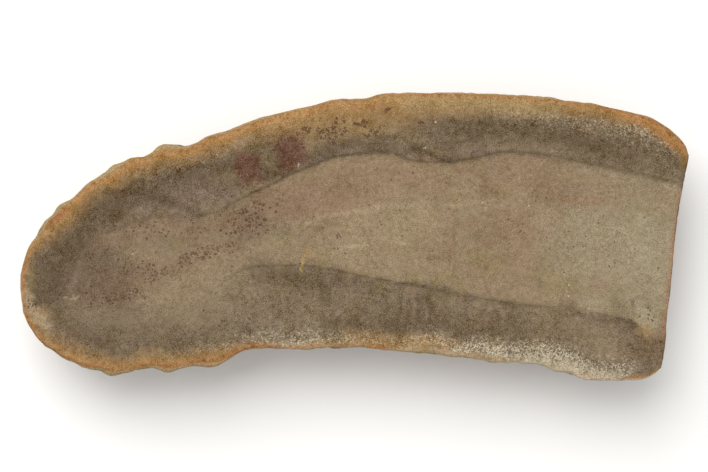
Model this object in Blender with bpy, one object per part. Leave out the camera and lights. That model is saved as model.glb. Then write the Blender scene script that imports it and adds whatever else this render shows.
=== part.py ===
"""Half of a split ironstone concretion, with the flattened body of a Tully monster on its split face.

The nodule grew round the animal, split along its middle plane and lost one end in a break across it. The
stone is one solid: a nearly flat split face with the low ledges of the animal's trunk, a crust that bulges
out below the rim and curves under, a patch where the belly of the stone is worn flat, and the broken end.

Frame: +X runs along the stone from its rounded end to its broken end, +Y runs across it, and +Z points up
out of the split face. The origin is the middle of the stone's footprint, on the surface that it rests on.
The sizes below are in millimetres, and the mesh is in metres.
"""
import math

import bmesh
import bpy
import numpy as np
from mathutils import Vector, noise

MM = 0.001

# Overall size of the stone
LENGTH = 110.0
WIDTH = 47.5
THICKNESS = 15.0

# Plan of the crust, seen from above the split face: from the lower corner of the break along the near side,
# round the whole end and back along the far side. The points are only those where the edge changes course.
CRUST_EDGE = [
    (50.3, -21.9), (48.0, -23.4), (44.5, -23.8), (37.9, -23.7), (35.4, -22.5), (32.9, -22.4), (30.1, -21.1),
    (23.5, -20.8), (15.4, -19.8), (8.0, -19.1), (-1.7, -18.4), (-10.0, -18.7), (-16.0, -18.6),
    (-18.4, -19.1), (-21.0, -20.5), (-23.5, -21.7), (-25.9, -21.4), (-28.5, -21.8), (-30.7, -22.6),
    (-33.2, -21.8), (-35.0, -21.8), (-37.5, -22.5), (-39.5, -23.0), (-40.8, -23.0), (-42.2, -22.1),
    (-44.0, -21.9), (-46.4, -20.8), (-48.0, -20.2), (-50.0, -18.8), (-52.1, -17.3), (-53.4, -15.5),
    (-54.6, -12.6), (-55.1, -7.5), (-54.8, -5.0), (-54.0, -2.1), (-52.7, 0.0), (-51.0, 2.7), (-50.0, 3.5),
    (-48.8, 5.1), (-47.0, 6.1), (-45.0, 7.8), (-44.0, 8.9), (-42.0, 10.2), (-40.9, 11.0), (-38.0, 12.4),
    (-36.1, 13.3), (-34.1, 13.5), (-32.4, 14.9), (-30.5, 15.2), (-27.5, 15.0), (-24.0, 16.7), (-21.9, 17.1),
    (-18.0, 18.7), (-13.0, 20.3), (-7.8, 21.6), (-2.9, 22.7), (1.6, 22.8), (4.0, 23.6), (10.0, 23.8),
    (19.1, 23.7), (29.8, 23.2), (35.5, 22.4), (40.0, 21.9), (45.0, 20.7), (48.8, 19.7), (51.0, 18.4),
    (53.0, 16.8), (54.5, 15.1), (55.0, 13.6),
]
# Plan of the break, from its lower corner to its upper one
BREAK_EDGE = [
    (50.3, -21.9), (50.8, -19.7), (51.3, -14.2), (51.9, -8.0), (52.6, -1.4), (53.2, 3.5), (54.2, 9.0),
    (55.0, 13.6),
]
# Shares of the crust's length between which it turns round the whole end
ROUND_FROM = 0.42
ROUND_TO = 0.54

# The two low ledges along the animal's trunk, from the rounded end, where they fade out, to the break.
# Their two ends lie on the stone's own ends, at these shares of the ends' lengths.
UPPER_LEDGE = [
    (-49.5, -3.0), (-45.0, 0.2), (-40.0, 1.3), (-33.0, 3.0), (-28.0, 2.9), (-24.0, 3.4), (-20.0, 5.4),
    (-17.0, 7.0), (-14.0, 8.3), (-10.0, 10.3), (-7.0, 11.5), (-4.0, 12.6), (0.0, 13.3), (6.5, 13.5),
    (9.0, 12.4), (14.5, 12.0), (20.5, 12.8), (24.0, 13.6), (30.0, 13.4), (36.0, 12.2), (42.0, 11.0),
    (48.0, 9.8),
]
LOWER_LEDGE = [
    (-50.0, -13.6), (-44.0, -15.0), (-36.0, -15.0), (-30.0, -13.4), (-24.0, -9.2), (-18.0, -5.2),
    (-12.0, -4.7), (-7.0, -4.7), (-1.0, -5.8), (5.0, -7.0), (12.0, -8.2), (20.0, -9.8), (30.0, -11.2),
    (35.5, -11.3), (40.0, -12.3), (45.5, -13.8), (48.0, -15.3),
]
ROUND_END_SHARES = {"lower": 0.34, "upper": 0.64}
BREAK_SHARES = {"lower": 0.15, "upper": 0.85}
LEDGE_SHARE = 0.02
LEDGE_RUN = 0.5
UPPER_STEP = 0.45
LOWER_STEP = 0.28
STEP_AT_ROUND_END = 0.25
STEP_FADES_FROM = -30.0
STEP_FULL_FROM = -12.0

# Unevenness of the split face: broad swells, shorter ripples, and how far its rim is chipped down
FACE_SWELL = 0.3
FACE_SWELL_SPAN = 16.0
FACE_RIPPLE = 0.12
FACE_RIPPLE_SPAN = 4.5
RIM_DROP = 0.3
RIM_DROP_CHANGE = 0.25
RIM_DROP_SPAN = 3.5

# Section of the crust: a superellipse from the rim, where it stands upright, down to the flat of the belly
CRUST_REACH = 16.0
CRUST_POWER = 2.2
SCALLOP_FADE = 7.0

# The belly bows up towards both ends, and its lowest part is worn down by this much. The worn patch keeps a
# fine grain, apart from the flat spot in its middle that the stone rests on.
BELLY_BOW = 1.8
BELLY_WEAR = 0.45
BELLY_GRAIN = 0.06
BELLY_GRAIN_SPAN = 3.0
REST_SPOT = (4.0, 0.0)
REST_SPOT_RADIUS = 8.0
REST_SPOT_EDGE = 2.0
WALL_DEPTHS = (0.0, 0.055, 0.25, 0.45, 0.64, 0.8)
WALL_CELLS = len(WALL_DEPTHS) - 1

# How far the rim stands inside the crust, and the places where the outer crust shows beyond it
RIM_INSET = 0.22
LIP_INSET = 0.6
LIP_SPAN = 2.4
CRUST_LIPS = [
    (-52.0, 1.6), (-49.4, 4.4), (-41.0, 10.9), (-31.0, 15.1), (-40.2, -23.0), (-31.0, -22.4),
    (-24.0, -21.5), (12.0, -19.4), (34.0, -22.4),
]

# Lumps and hollows of the crust (plan x, y, radius, height), a flaked patch, and a general roughness
CRUST_LUMPS = [
    (-46.0, -12.0, 7.0, 0.7), (-34.0, 9.0, 6.0, 0.8), (-27.0, -16.0, 5.5, -0.7), (-12.0, 15.0, 7.0, -0.6),
    (-6.0, -14.0, 6.0, 0.8), (9.0, 19.0, 6.0, 0.7), (17.0, -15.0, 5.0, -0.8), (28.0, 16.0, 7.0, 0.6),
    (33.0, -19.0, 5.0, 0.9), (44.0, 14.0, 5.5, -0.7), (47.0, -12.0, 5.0, 0.6),
]
FLAKE_CENTRE = (-20.0, 11.0)
FLAKE_RADIUS = 9.0
FLAKE_EDGE = 3.0
FLAKE_RAGGEDNESS = 0.3
FLAKE_DEPTH = 0.8
CRUST_ROUGHNESS = 0.6
CRUST_ROUGHNESS_SPAN = 7.0
LUMPS_START = 1.5
LUMPS_FULL = 5.0

# Broken end: it leans in under the split face, and its fracture is hackly
BREAK_LEAN = 1.8
BREAK_HACKLE = 1.4
BREAK_HACKLE_SPAN = 7.0
BREAK_HACKLE_FULL = 3.0
CORNER_TURN = 0.03

# Cells of the mesh: along the stone, and in the bands across it that the ledges divide
CELLS_ALONG = 72
BAND_ROWS = (6, 1, 12, 1, 7)
ROWS = sum(BAND_ROWS)
BAND_ENDS = [sum(BAND_ROWS[:count]) for count in range(len(BAND_ROWS) + 1)]
END_FADE_POWER = 4

# The materials: name, colour as sRGB from 0 to 1, and roughness
SPLIT_FACE = 0
CRUST = 1
BROKEN_END = 2
MATERIALS = [
    ("ironstone_split_face", (0.55, 0.47, 0.37), 0.85),
    ("ironstone_crust", (0.56, 0.45, 0.28), 0.9),
    ("ironstone_broken_end", (0.47, 0.37, 0.28), 0.9),
]
WELD = 1e-4
SHARP_EDGE = math.radians(50)


def hermite(start, end, leave, arrive, t):
    """Return the point at t on the cubic that leaves start and reaches end with these tangents."""
    square, cube = t * t, t * t * t
    return (start * (2 * cube - 3 * square + 1) + leave * (cube - 2 * square + t)
            + end * (3 * square - 2 * cube) + arrive * (cube - square))


class Curve:
    """A smooth curve in plan through a few points, read at a share of its length from 0 to 1."""

    STEPS = 16
    NORMAL_SPAN = 1.5
    SAMPLES = 7

    def __init__(self, points):
        points = [np.array(point, dtype=float) for point in points]
        line = []
        for index in range(len(points) - 1):
            start, end = points[index], points[index + 1]
            leave = (end - points[max(index - 1, 0)]) / 2
            arrive = (points[min(index + 2, len(points) - 1)] - start) / 2
            line += [hermite(start, end, leave, arrive, step / self.STEPS) for step in range(self.STEPS)]
        self.line = np.array(line + [points[-1]])
        runs = np.hypot(*np.diff(self.line, axis=0).T)
        self.length = runs.sum()
        self.marks = np.concatenate(([0.0], np.cumsum(runs))) / self.length

    def at(self, share, window=0.0):
        """Return the point at this share of the length, averaged over a stretch this far to either side."""
        reach = min(window / self.length, share, 1 - share)
        shares = np.linspace(share - reach, share + reach, self.SAMPLES)
        return np.array([np.interp(shares, self.marks, self.line[:, axis]).mean() for axis in (0, 1)])

    def right(self, share, window=0.0):
        """Return the unit vector to the right of the course, of the stretch this far to either side."""
        reach = (self.NORMAL_SPAN + window) / self.length
        run = self.at(min(share + reach, 1.0)) - self.at(max(share - reach, 0.0))
        return np.array((run[1], -run[0])) / math.hypot(*run)


def blend(start, end, share):
    """Return the value at this share of the way from start to end."""
    return start + (end - start) * share


def smooth_step(low, high, value):
    """Return 0 below low, 1 above high and a smooth rise between them."""
    t = min(max((value - low) / (high - low), 0.0), 1.0)
    return t * t * (3 - 2 * t)


def waves(x, y, z, span):
    """Return smooth noise between -1 and 1 with swells about this many millimetres across."""
    return noise.noise(Vector((x, y, z)) / span)


CRUST_CURVE = Curve(CRUST_EDGE)
BREAK_CURVE = Curve(BREAK_EDGE)


def lip(point):
    """Return how strongly the outer crust shows beyond the rim at this point of the plan, from 0 to 1."""
    nearest = min(math.hypot(point[0] - x, point[1] - y) for x, y in CRUST_LIPS)
    return math.exp(-(nearest / LIP_SPAN) ** 2)


def crust_inset(depth):
    """Return how far the crust has curved in at this share of the stone's thickness below the rim."""
    return CRUST_REACH * (1 - (1 - depth ** CRUST_POWER) ** (1 / CRUST_POWER))


def crust_depth(inset):
    """Return the share of the thickness that the crust has reached where it has curved in this far."""
    left = max(1 - inset / CRUST_REACH, 0.0)
    return (1 - left ** CRUST_POWER) ** (1 / CRUST_POWER)


def belly_height(plan):
    """Return the height of the stone's underside at this point, below 0 where it is worn away."""
    inset = float(np.min(np.hypot(*(CRUST_CURVE.line - plan).T)))
    bow = BELLY_BOW * (plan[0] / (LENGTH / 2)) ** 2
    full_depth = THICKNESS + BELLY_WEAR
    return THICKNESS - full_depth * crust_depth(inset) + bow


def wall_inset(point, depth):
    """Return how far the wall stands inside the plan of the crust at this depth."""
    if depth == 0.0:
        return RIM_INSET + LIP_INSET * lip(point)
    return crust_inset(depth)


def break_plan(share, depth):
    """Return the plan of the fracture at this share of the break and this share of the thickness."""
    point = BREAK_CURVE.at(share)
    below_rim = depth * THICKNESS
    hackle = BREAK_HACKLE * waves(0.0, point[1], below_rim, BREAK_HACKLE_SPAN)
    point[0] += hackle * smooth_step(0.0, BREAK_HACKLE_FULL, below_rim) - BREAK_LEAN * depth
    return point


def break_corner(upper, depth):
    """Return the plan of a corner of the break at this depth, where the crust has curved in along it."""
    corner = BREAK_CURVE.at(1.0 if upper else 0.0)
    share = wall_inset(corner, depth) / BREAK_CURVE.length
    return break_plan(1 - share if upper else share, depth)


def crust_plan(share, depth):
    """Return the plan of the crust at this share of its length and this share of the thickness."""
    point = CRUST_CURVE.at(share, SCALLOP_FADE * depth)
    square = point + CRUST_CURVE.right(share, SCALLOP_FADE * depth) * wall_inset(point, depth)
    upper = share > 1 - share
    at_break = point + break_corner(upper, depth) - BREAK_CURVE.at(1.0 if upper else 0.0)
    return blend(at_break, square, smooth_step(0.0, CORNER_TURN, min(share, 1 - share)))


def near_side(along, depth):
    """Return the plan of the crust on the near side, from the rounded end (0) to the break (1)."""
    return crust_plan(blend(ROUND_FROM, 0.0, along), depth)


def far_side(along, depth):
    """Return the plan of the crust on the far side, from the rounded end (0) to the break (1)."""
    return crust_plan(blend(ROUND_TO, 1.0, along), depth)


def end_share(row, shares):
    """Return the share along an end of the stone at which this row of the mesh meets it."""
    lower, upper = shares["lower"], shares["upper"]
    knots = (0.0, lower - LEDGE_SHARE, lower, upper, upper + LEDGE_SHARE, 1.0)
    return float(np.interp(row, BAND_ENDS, knots))


def round_end(row, depth):
    """Return the plan of the crust at the rounded end, where this row of the mesh meets it."""
    return crust_plan(blend(ROUND_FROM, ROUND_TO, end_share(row, ROUND_END_SHARES)), depth)


def broken_end(row, depth):
    """Return the plan of the fracture where this row of the mesh meets it."""
    corner_inset = wall_inset(BREAK_CURVE.at(0.0), depth) / BREAK_CURVE.length
    return break_plan(blend(corner_inset, 1 - corner_inset, end_share(row, BREAK_SHARES)), depth)


def ledge_curve(points, row):
    """Return a ledge from end to end of the stone, along this row of the mesh."""
    return Curve([tuple(round_end(row, 0.0))] + points + [tuple(broken_end(row, 0.0))])


LOWER_CURVE = ledge_curve(LOWER_LEDGE, BAND_ENDS[2])
UPPER_CURVE = ledge_curve(UPPER_LEDGE, BAND_ENDS[3])


def flow_lines(along):
    """Return the plan of the lines that the rows of the split face follow, at this share of the length."""
    run = np.array((0.0, LEDGE_RUN))
    lower, upper = LOWER_CURVE.at(along), UPPER_CURVE.at(along)
    return np.array([near_side(along, 0.0), lower - run, lower, upper, upper + run, far_side(along, 0.0)])


def between_lines(along, row):
    """Return the plan of a row between the flow lines."""
    lines = flow_lines(along)
    return np.array([np.interp(row, BAND_ENDS, lines[:, axis]) for axis in (0, 1)])


ROUND_END_GAPS = [round_end(row, 0.0) - between_lines(0.0, row) for row in range(ROWS + 1)]
BROKEN_END_GAPS = [broken_end(row, 0.0) - between_lines(1.0, row) for row in range(ROWS + 1)]


def face_point(column, row):
    """Return a corner of the split face's mesh."""
    along = column / CELLS_ALONG
    plan = between_lines(along, row)
    plan += ROUND_END_GAPS[row] * (1 - along) ** END_FADE_POWER
    plan += BROKEN_END_GAPS[row] * along ** END_FADE_POWER
    on_rim = row in (0, ROWS) or column in (0, CELLS_ALONG)
    return Vector((*plan, rim_height(plan) if on_rim else face_height(plan, row)))


def face_height(plan, row):
    """Return the height of the split face: ledges along the trunk, broad swells and shorter ripples."""
    x, y = plan
    full = smooth_step(STEP_FADES_FROM, STEP_FULL_FROM, x)
    strength = blend(STEP_AT_ROUND_END, 1.0, full)
    steps = (0.0, UPPER_STEP + LOWER_STEP, UPPER_STEP, UPPER_STEP, 0.0, 0.0)
    ledges = strength * float(np.interp(row, BAND_ENDS, steps))
    swell = FACE_SWELL * waves(x, y, 0.0, FACE_SWELL_SPAN)
    ripple = FACE_RIPPLE * waves(x, y, FACE_SWELL_SPAN, FACE_RIPPLE_SPAN)
    return THICKNESS - ledges + swell + ripple


def rim_height(plan):
    """Return the height of the rim of the split face, which is chipped down a little unevenly."""
    return THICKNESS - RIM_DROP + RIM_DROP_CHANGE * waves(plan[0], plan[1], 0.0, RIM_DROP_SPAN)


def wall_point(plan_at, level):
    """Return a point of the wall, from the rim (level 0) down to the edge of the belly."""
    depth = WALL_DEPTHS[level]
    top = rim_height(plan_at(0.0))
    foot = belly_height(plan_at(WALL_DEPTHS[-1]))
    return Vector((*plan_at(depth), blend(top, foot, depth / WALL_DEPTHS[-1])))


def belly_point(column, row):
    """Return a corner of the belly's mesh, a patch stretched between the feet of the four walls."""
    along, across = column / CELLS_ALONG, row / ROWS
    depth = WALL_DEPTHS[-1]
    sides = blend(near_side(along, depth), far_side(along, depth), across)
    ends = blend(round_end(row, depth), broken_end(row, depth), along)
    near = blend(near_side(0.0, depth), near_side(1.0, depth), along)
    far = blend(far_side(0.0, depth), far_side(1.0, depth), along)
    plan = sides + ends - blend(near, far, across)
    return Vector((*plan, belly_height(plan)))


def add_sheet(mesh, columns, rows, place, material):
    """Add a sheet of cells to the mesh, with each corner where place puts it."""
    verts = bmesh.ops.create_grid(mesh, x_segments=columns, y_segments=rows, size=1.0)["verts"]
    for vert in verts:
        column = round((vert.co.x + 1) / 2 * columns)
        row = round((vert.co.y + 1) / 2 * rows)
        vert.co = place(column, row)
    for face in {face for vert in verts for face in vert.link_faces}:
        face.material_index = material


def add_sheets(mesh):
    """Add the split face, the walls and the belly, and weld them into one closed body."""
    add_sheet(mesh, CELLS_ALONG, ROWS, face_point, SPLIT_FACE)
    for side in (near_side, far_side):
        add_sheet(mesh, CELLS_ALONG, WALL_CELLS, lambda column, level: wall_point(
            lambda depth: side(column / CELLS_ALONG, depth), level), CRUST)
    add_sheet(mesh, ROWS, WALL_CELLS, lambda row, level: wall_point(
        lambda depth: round_end(row, depth), level), CRUST)
    add_sheet(mesh, ROWS, WALL_CELLS, lambda row, level: wall_point(
        lambda depth: broken_end(row, depth), level), BROKEN_END)
    add_sheet(mesh, CELLS_ALONG, ROWS, belly_point, CRUST)
    bmesh.ops.remove_doubles(mesh, verts=mesh.verts, dist=WELD)
    bmesh.ops.recalc_face_normals(mesh, faces=mesh.faces)


def crust_relief(point):
    """Return how far the crust stands out at this point: lumps, hollows, a flaked patch and roughness."""
    x, y, z = point
    relief = CRUST_ROUGHNESS * waves(x, y, z, CRUST_ROUGHNESS_SPAN)
    for lump_x, lump_y, radius, height in CRUST_LUMPS:
        relief += height * math.exp(-((x - lump_x) ** 2 + (y - lump_y) ** 2) / radius ** 2)
    ragged_radius = FLAKE_RADIUS * (1 + FLAKE_RAGGEDNESS * waves(x, y, z, FLAKE_RADIUS))
    from_flake = math.hypot(x - FLAKE_CENTRE[0], y - FLAKE_CENTRE[1])
    relief -= FLAKE_DEPTH * (1 - smooth_step(ragged_radius - FLAKE_EDGE, ragged_radius, from_flake))
    return relief * smooth_step(LUMPS_START, LUMPS_FULL, THICKNESS - z)


def worn_height(x, y):
    """Return the height of the worn patch of the belly: flat in the middle, with a fine grain around it."""
    from_spot = math.hypot(x - REST_SPOT[0], y - REST_SPOT[1])
    grain = BELLY_GRAIN * (1 + waves(x, y, 0.0, BELLY_GRAIN_SPAN)) / 2
    return grain * smooth_step(REST_SPOT_RADIUS, REST_SPOT_RADIUS + REST_SPOT_EDGE, from_spot)


def roughen_crust(mesh):
    """Raise the lumps of the crust, and wear off what would stand below the surface it rests on."""
    mesh.normal_update()
    crust = [vert for vert in mesh.verts if all(face.material_index == CRUST for face in vert.link_faces)]
    for vert in crust:
        vert.co += vert.normal * crust_relief(vert.co)
    for vert in mesh.verts:
        vert.co.z = max(vert.co.z, worn_height(vert.co.x, vert.co.y))


def fit_to_size(mesh):
    """Bring the stone to its stated size in metres, and stand it over the origin."""
    places = np.array([vert.co for vert in mesh.verts])
    low, high = places.min(axis=0), places.max(axis=0)
    scale = np.array((LENGTH, WIDTH, THICKNESS)) * MM / (high - low)
    middle = (low + high) / 2
    middle[2] = low[2]
    for vert in mesh.verts:
        vert.co = (np.array(vert.co) - middle) * scale


def linear(srgb):
    """Return an sRGB colour as linear RGBA."""
    channels = [value / 12.92 if value <= 0.04045 else ((value + 0.055) / 1.055) ** 2.4 for value in srgb]
    return channels + [1.0]


def make_material(name, srgb, roughness):
    """Return a dull stone material."""
    material = bpy.data.materials.new(name)
    material.use_nodes = True
    shader = material.node_tree.nodes["Principled BSDF"]
    shader.inputs["Base Color"].default_value = linear(srgb)
    shader.inputs["Roughness"].default_value = roughness
    shader.inputs["Metallic"].default_value = 0.0
    return material


def make_stone():
    """Model the half concretion as one solid."""
    data = bpy.data.meshes.new("concretion_half")
    mesh = bmesh.new()
    add_sheets(mesh)
    roughen_crust(mesh)
    fit_to_size(mesh)
    mesh.to_mesh(data)
    mesh.free()
    for name, srgb, roughness in MATERIALS:
        data.materials.append(make_material(name, srgb, roughness))
    data.shade_smooth()
    data.set_sharp_from_angle(angle=SHARP_EDGE)
    stone = bpy.data.objects.new("concretion_half", data)
    bpy.context.scene.collection.objects.link(stone)
    return stone


def clear_scene():
    """Remove whatever objects the file already holds."""
    for item in list(bpy.data.objects):
        bpy.data.objects.remove(item, do_unlink=True)


clear_scene()
make_stone()
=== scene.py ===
"""Half of a split ironstone concretion with a Tully monster on its split face, finished and lit.

The stone's form, size and place are the frame's. This script works that form up into a fine mesh, with the
grain of the split face, the rough crust and the hackly break, paints the animal's remains and the weathered
rind on it, and sets a pale floor, soft studio light and a camera that looks straight down on the split face.

Marks are placed in millimetres in the frame's own plan: +X towards the broken end, +Y across the stone and
+Z up out of the split face. The meshes are in metres.
"""

import logging
import math
from dataclasses import dataclass, field, fields
from enum import Enum, IntEnum
from typing import Any

import bmesh
import bpy
import numpy as np
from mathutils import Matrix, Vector, kdtree, noise
from mathutils.bvhtree import BVHTree


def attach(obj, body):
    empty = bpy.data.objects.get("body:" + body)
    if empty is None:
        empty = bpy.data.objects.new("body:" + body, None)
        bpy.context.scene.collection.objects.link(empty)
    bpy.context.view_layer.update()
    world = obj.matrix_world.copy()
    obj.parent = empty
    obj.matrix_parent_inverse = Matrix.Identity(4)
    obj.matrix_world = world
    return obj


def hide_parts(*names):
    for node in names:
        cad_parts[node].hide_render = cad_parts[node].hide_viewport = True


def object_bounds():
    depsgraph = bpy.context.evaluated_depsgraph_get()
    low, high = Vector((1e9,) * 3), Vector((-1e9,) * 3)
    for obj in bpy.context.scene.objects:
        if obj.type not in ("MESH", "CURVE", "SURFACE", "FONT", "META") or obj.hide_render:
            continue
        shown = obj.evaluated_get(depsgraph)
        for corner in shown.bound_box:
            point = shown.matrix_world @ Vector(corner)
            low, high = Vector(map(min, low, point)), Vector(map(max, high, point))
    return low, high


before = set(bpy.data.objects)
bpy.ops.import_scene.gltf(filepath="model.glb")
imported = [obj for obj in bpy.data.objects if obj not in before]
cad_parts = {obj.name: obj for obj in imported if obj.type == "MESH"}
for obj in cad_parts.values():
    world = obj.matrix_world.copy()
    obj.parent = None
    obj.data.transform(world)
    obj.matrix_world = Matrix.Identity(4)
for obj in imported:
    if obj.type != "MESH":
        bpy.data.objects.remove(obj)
CAD_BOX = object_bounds()

MM = 0.001
BODY = "root"
NODE = "concretion_half"
LOG = logging.getLogger("concretion")

Course = tuple[tuple[float, float], ...]
Socket = bpy.types.NodeSocket


class Region(IntEnum):
    """The three surfaces of the stone, in the order of its material slots."""

    SPLIT_FACE = 0
    CRUST = 1
    BROKEN_END = 2


class Tone(Enum):
    """The colours of the stone's surfaces, as sRGB hex values."""

    RUST = "#8e5533"
    BRICK = "#8e5c3f"
    AMBER = "#9a6a3b"
    OCHRE = "#96754a"
    TAWNY = "#84663f"
    KHAKI = "#7c684a"
    TAN = "#967a55"
    PALE_OCHRE = "#957f58"
    STRAW = "#998660"
    MOSS = "#7a6c46"
    UMBER = "#4f402f"
    HALO = "#584936"
    EARTH = "#695a48"
    SLATE = "#6c5e4d"
    VIOLET = "#6f5e4f"
    CLAY = "#776752"
    BUFF = "#847259"
    WHEAT = "#8e7c61"
    CREAM = "#98876d"
    ASH = "#8e8168"
    ROSE = "#7e6550"
    ROSY_BUFF = "#826c55"
    COCOA = "#6c5442"
    MAROON = "#5e3c2f"
    PLUM = "#4a3226"
    BONE = "#aea38b"
    CHALK = "#cfc8b6"
    SULPHUR = "#a48a50"

    def linear(self) -> np.ndarray:
        """Return the colour as linear RGB."""
        return linear(self.value)


def linear(srgb: str) -> np.ndarray:
    """Turn an sRGB hex colour to linear RGB, by the curve of the sRGB standard.

    Args:
        srgb: the colour, such as "#89775e".

    Returns:
        Three linear values from 0 to 1.
    """
    channels = np.array([int(srgb[place:place + 2], 16) / 255 for place in (1, 3, 5)])
    return np.where(channels <= 0.04045, channels / 12.92, ((channels + 0.055) / 1.055) ** 2.4)


def rgba(tone: Tone) -> tuple[float, ...]:
    """Return a tone as the linear RGBA value that a colour socket takes."""
    return (*tone.linear(), 1.0)


def smooth_step(low: float | np.ndarray, high: float | np.ndarray, value: np.ndarray) -> np.ndarray:
    """Return 0 below low, 1 above high and a smooth rise between them."""
    share = np.clip((value - low) / (high - low), 0.0, 1.0)
    return share * share * (3 - 2 * share)


# Layers of noise, each half as wide and half as strong as the last
DIMENSION = 1.0
LACUNARITY = 2.0


def waves(points: np.ndarray, span: float, shift: float = 0.0, octaves: int = 1,
          basis: str = "PERLIN_ORIGINAL") -> np.ndarray:
    """Return smooth noise from about -1 to 1.

    Args:
        points: N x 3 places in millimetres.
        span: width of the largest swells in millimetres.
        shift: moves the pattern, so that two patterns of one span differ.
        octaves: how many layers, each half as wide and half as strong as the last.
        basis: Blender's name of the pattern, which is swells unless another is named.

    Returns:
        N values.
    """
    places = (points / span + shift).tolist()
    return np.array([noise.fractal(place, DIMENSION, LACUNARITY, octaves, noise_basis=basis)
                     for place in places])


def distance_to(plan: np.ndarray, course: Course) -> np.ndarray:
    """Return how far points of the plan are from a course.

    Args:
        plan: N x 2 places in millimetres.
        course: the course's points in millimetres, or one point alone.

    Returns:
        N distances in millimetres.
    """
    stops = np.array(course, dtype=float)
    nearest = np.hypot(*(plan - stops[0]).T)
    for start, end in zip(stops[:-1], stops[1:]):
        run = end - start
        share = np.clip((plan - start) @ run / (run @ run), 0.0, 1.0)
        nearest = np.minimum(nearest, np.hypot(*(plan - start - share[:, None] * run).T))
    return nearest


@dataclass(frozen=True)
class Stroke:
    """One mark, stain or band of painted light or shade on the split face: a tone laid along a course, which
    may also rise or sink a little.

    The stroke is full out to reach * (1 - soft) from its course and gone at reach * (1 + soft). Sizes are in
    millimetres, and ragged is how far the ground's grain throws its edge about.
    """

    course: Course
    reach: float
    tone: Tone
    strength: float = 0.7
    soft: float = 0.8
    ragged: float = 0.6
    rise: float = 0.0

    def cover(self, plan: np.ndarray, scatter: np.ndarray) -> np.ndarray:
        """Return how far the stroke covers each point.

        Args:
            plan: N x 2 places in millimetres.
            scatter: N x 2 throws of the ground's grain, about 1 mm long.

        Returns:
            N values from 0 to 1.
        """
        away = distance_to(plan + self.ragged * scatter, self.course)
        return 1 - smooth_step(self.reach * (1 - self.soft), self.reach * (1 + self.soft), away)


@dataclass(frozen=True)
class Specks:
    """A scatter of small grains along a course, out to reach from it, in millimetres."""

    course: Course
    reach: float
    count: int
    smallest: float = 0.08
    largest: float = 0.23

    def places(self, rng: np.random.Generator) -> np.ndarray:
        """Scatter the grains.

        Args:
            rng: where the chances come from.

        Returns:
            One row of x, y and radius for each grain.
        """
        stops = np.array(self.course, dtype=float)
        at = rng.uniform(0, len(stops) - 1, self.count)
        along = np.stack([np.interp(at, np.arange(len(stops)), stops[:, axis]) for axis in (0, 1)], 1)
        turn = rng.uniform(0, 2 * math.pi, self.count)
        away = self.reach * np.sqrt(rng.uniform(0, 1, self.count))
        spread = np.stack((np.cos(turn), np.sin(turn)), 1) * away[:, None]
        radius = rng.uniform(self.smallest, self.largest, (self.count, 1))
        return np.hstack((along + spread, radius))


@dataclass(frozen=True)
class RindStretch:
    """The weathered rind at one place along an edge of the split face, in millimetres in from the edge.

    depth is where its ochre has half faded, halo how strongly the stone inside it is darkened, skin how
    rusty the very edge is and vein how rusty the thin line a millimetre in. chalk is how thickly pale grains
    lie between chalk_from and chalk_to.
    """

    x: float
    depth: float
    halo: float
    skin: float
    vein: float = 0.0
    chalk: float = 0.0
    chalk_from: float = 1.5
    chalk_to: float = 3.0


# The rind along the far edge and the near edge, from the rounded end to the break
FAR_RIND = (
    RindStretch(-55, 0.2, 0.9, 0.3), RindStretch(-53.5, 0.6, 0.9, 0.3), RindStretch(-51, 1.8, 1, 0.4),
    RindStretch(-47, 2.5, 1, 0.4, 0.3), RindStretch(-40, 2.8, 1, 0.3, 0.7),
    RindStretch(-34, 2.7, 0.9, 0.3, 0.8, 0.14, 2, 5), RindStretch(-28, 2.5, 0.9, 0.3, 0.8, 0.2, 2, 4.2),
    RindStretch(-20, 2.8, 0.5, 0.3, 0.8, 0.26, 2, 4), RindStretch(-14, 3.4, 0.3, 0.3, 0.8, 0.12, 1.5, 3),
    RindStretch(-8, 4, 0.2, 0.3, 0.6), RindStretch(2, 4.8, 0.15, 0.3, 0.3), RindStretch(12, 3.8, 0.2, 0.4),
    RindStretch(20, 3.1, 0.5, 0.4, 0, 0.18, 2, 5.5), RindStretch(30, 2.6, 0.5, 0.35, 0, 0.26, 2, 6.5),
    RindStretch(40, 2.3, 0.5, 0.4, 0, 0.32, 1.9, 6), RindStretch(48, 2.2, 0.2, 0.5, 0, 0.4, 1.7, 5.6),
    RindStretch(53, 1.9, 0, 0.5, 0, 0.22, 1.7, 4.6),
)
NEAR_RIND = (
    RindStretch(-55, 0.2, 0.6, 0.4), RindStretch(-51, 2, 0.4, 0.5), RindStretch(-46, 2.5, 0.5, 0.4, 0.3),
    RindStretch(-38, 2.2, 0.45, 0.4, 0.4, 0.06, 2, 4), RindStretch(-30, 2.2, 0.5, 0.5, 0.5, 0.2, 1.5, 3.6),
    RindStretch(-22, 2, 0.3, 0.6, 0.3, 0.28, 1.2, 3.6), RindStretch(-15, 1.2, 0.2, 0.7, 0, 0.36, 0.8, 4),
    RindStretch(-8, 0.9, 0.2, 0.4, 0, 0.46, 0.3, 4), RindStretch(-1, 1.4, 0.3, 0.3, 0, 0.4, 0.5, 3.3),
    RindStretch(7, 2, 0.5, 0.1, 0, 0.34, 0.5, 3.2), RindStretch(15, 1.4, 0.4, 0.1, 0, 0.42, 0.6, 3.4),
    RindStretch(22, 0.7, 0.3, 0.1, 0, 0.6, 0.5, 4.1), RindStretch(30, 0.2, 0.4, 0, 0, 0.72, 0.1, 4.5),
    RindStretch(36, 0.2, 0.3, 0, 0, 0.7, -0.3, 4.6), RindStretch(44, 0.4, 0.1, 0.3, 0, 0.62, 0.1, 4.6),
    RindStretch(48.5, 0.2, 0.2, 0.05),
)

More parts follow.
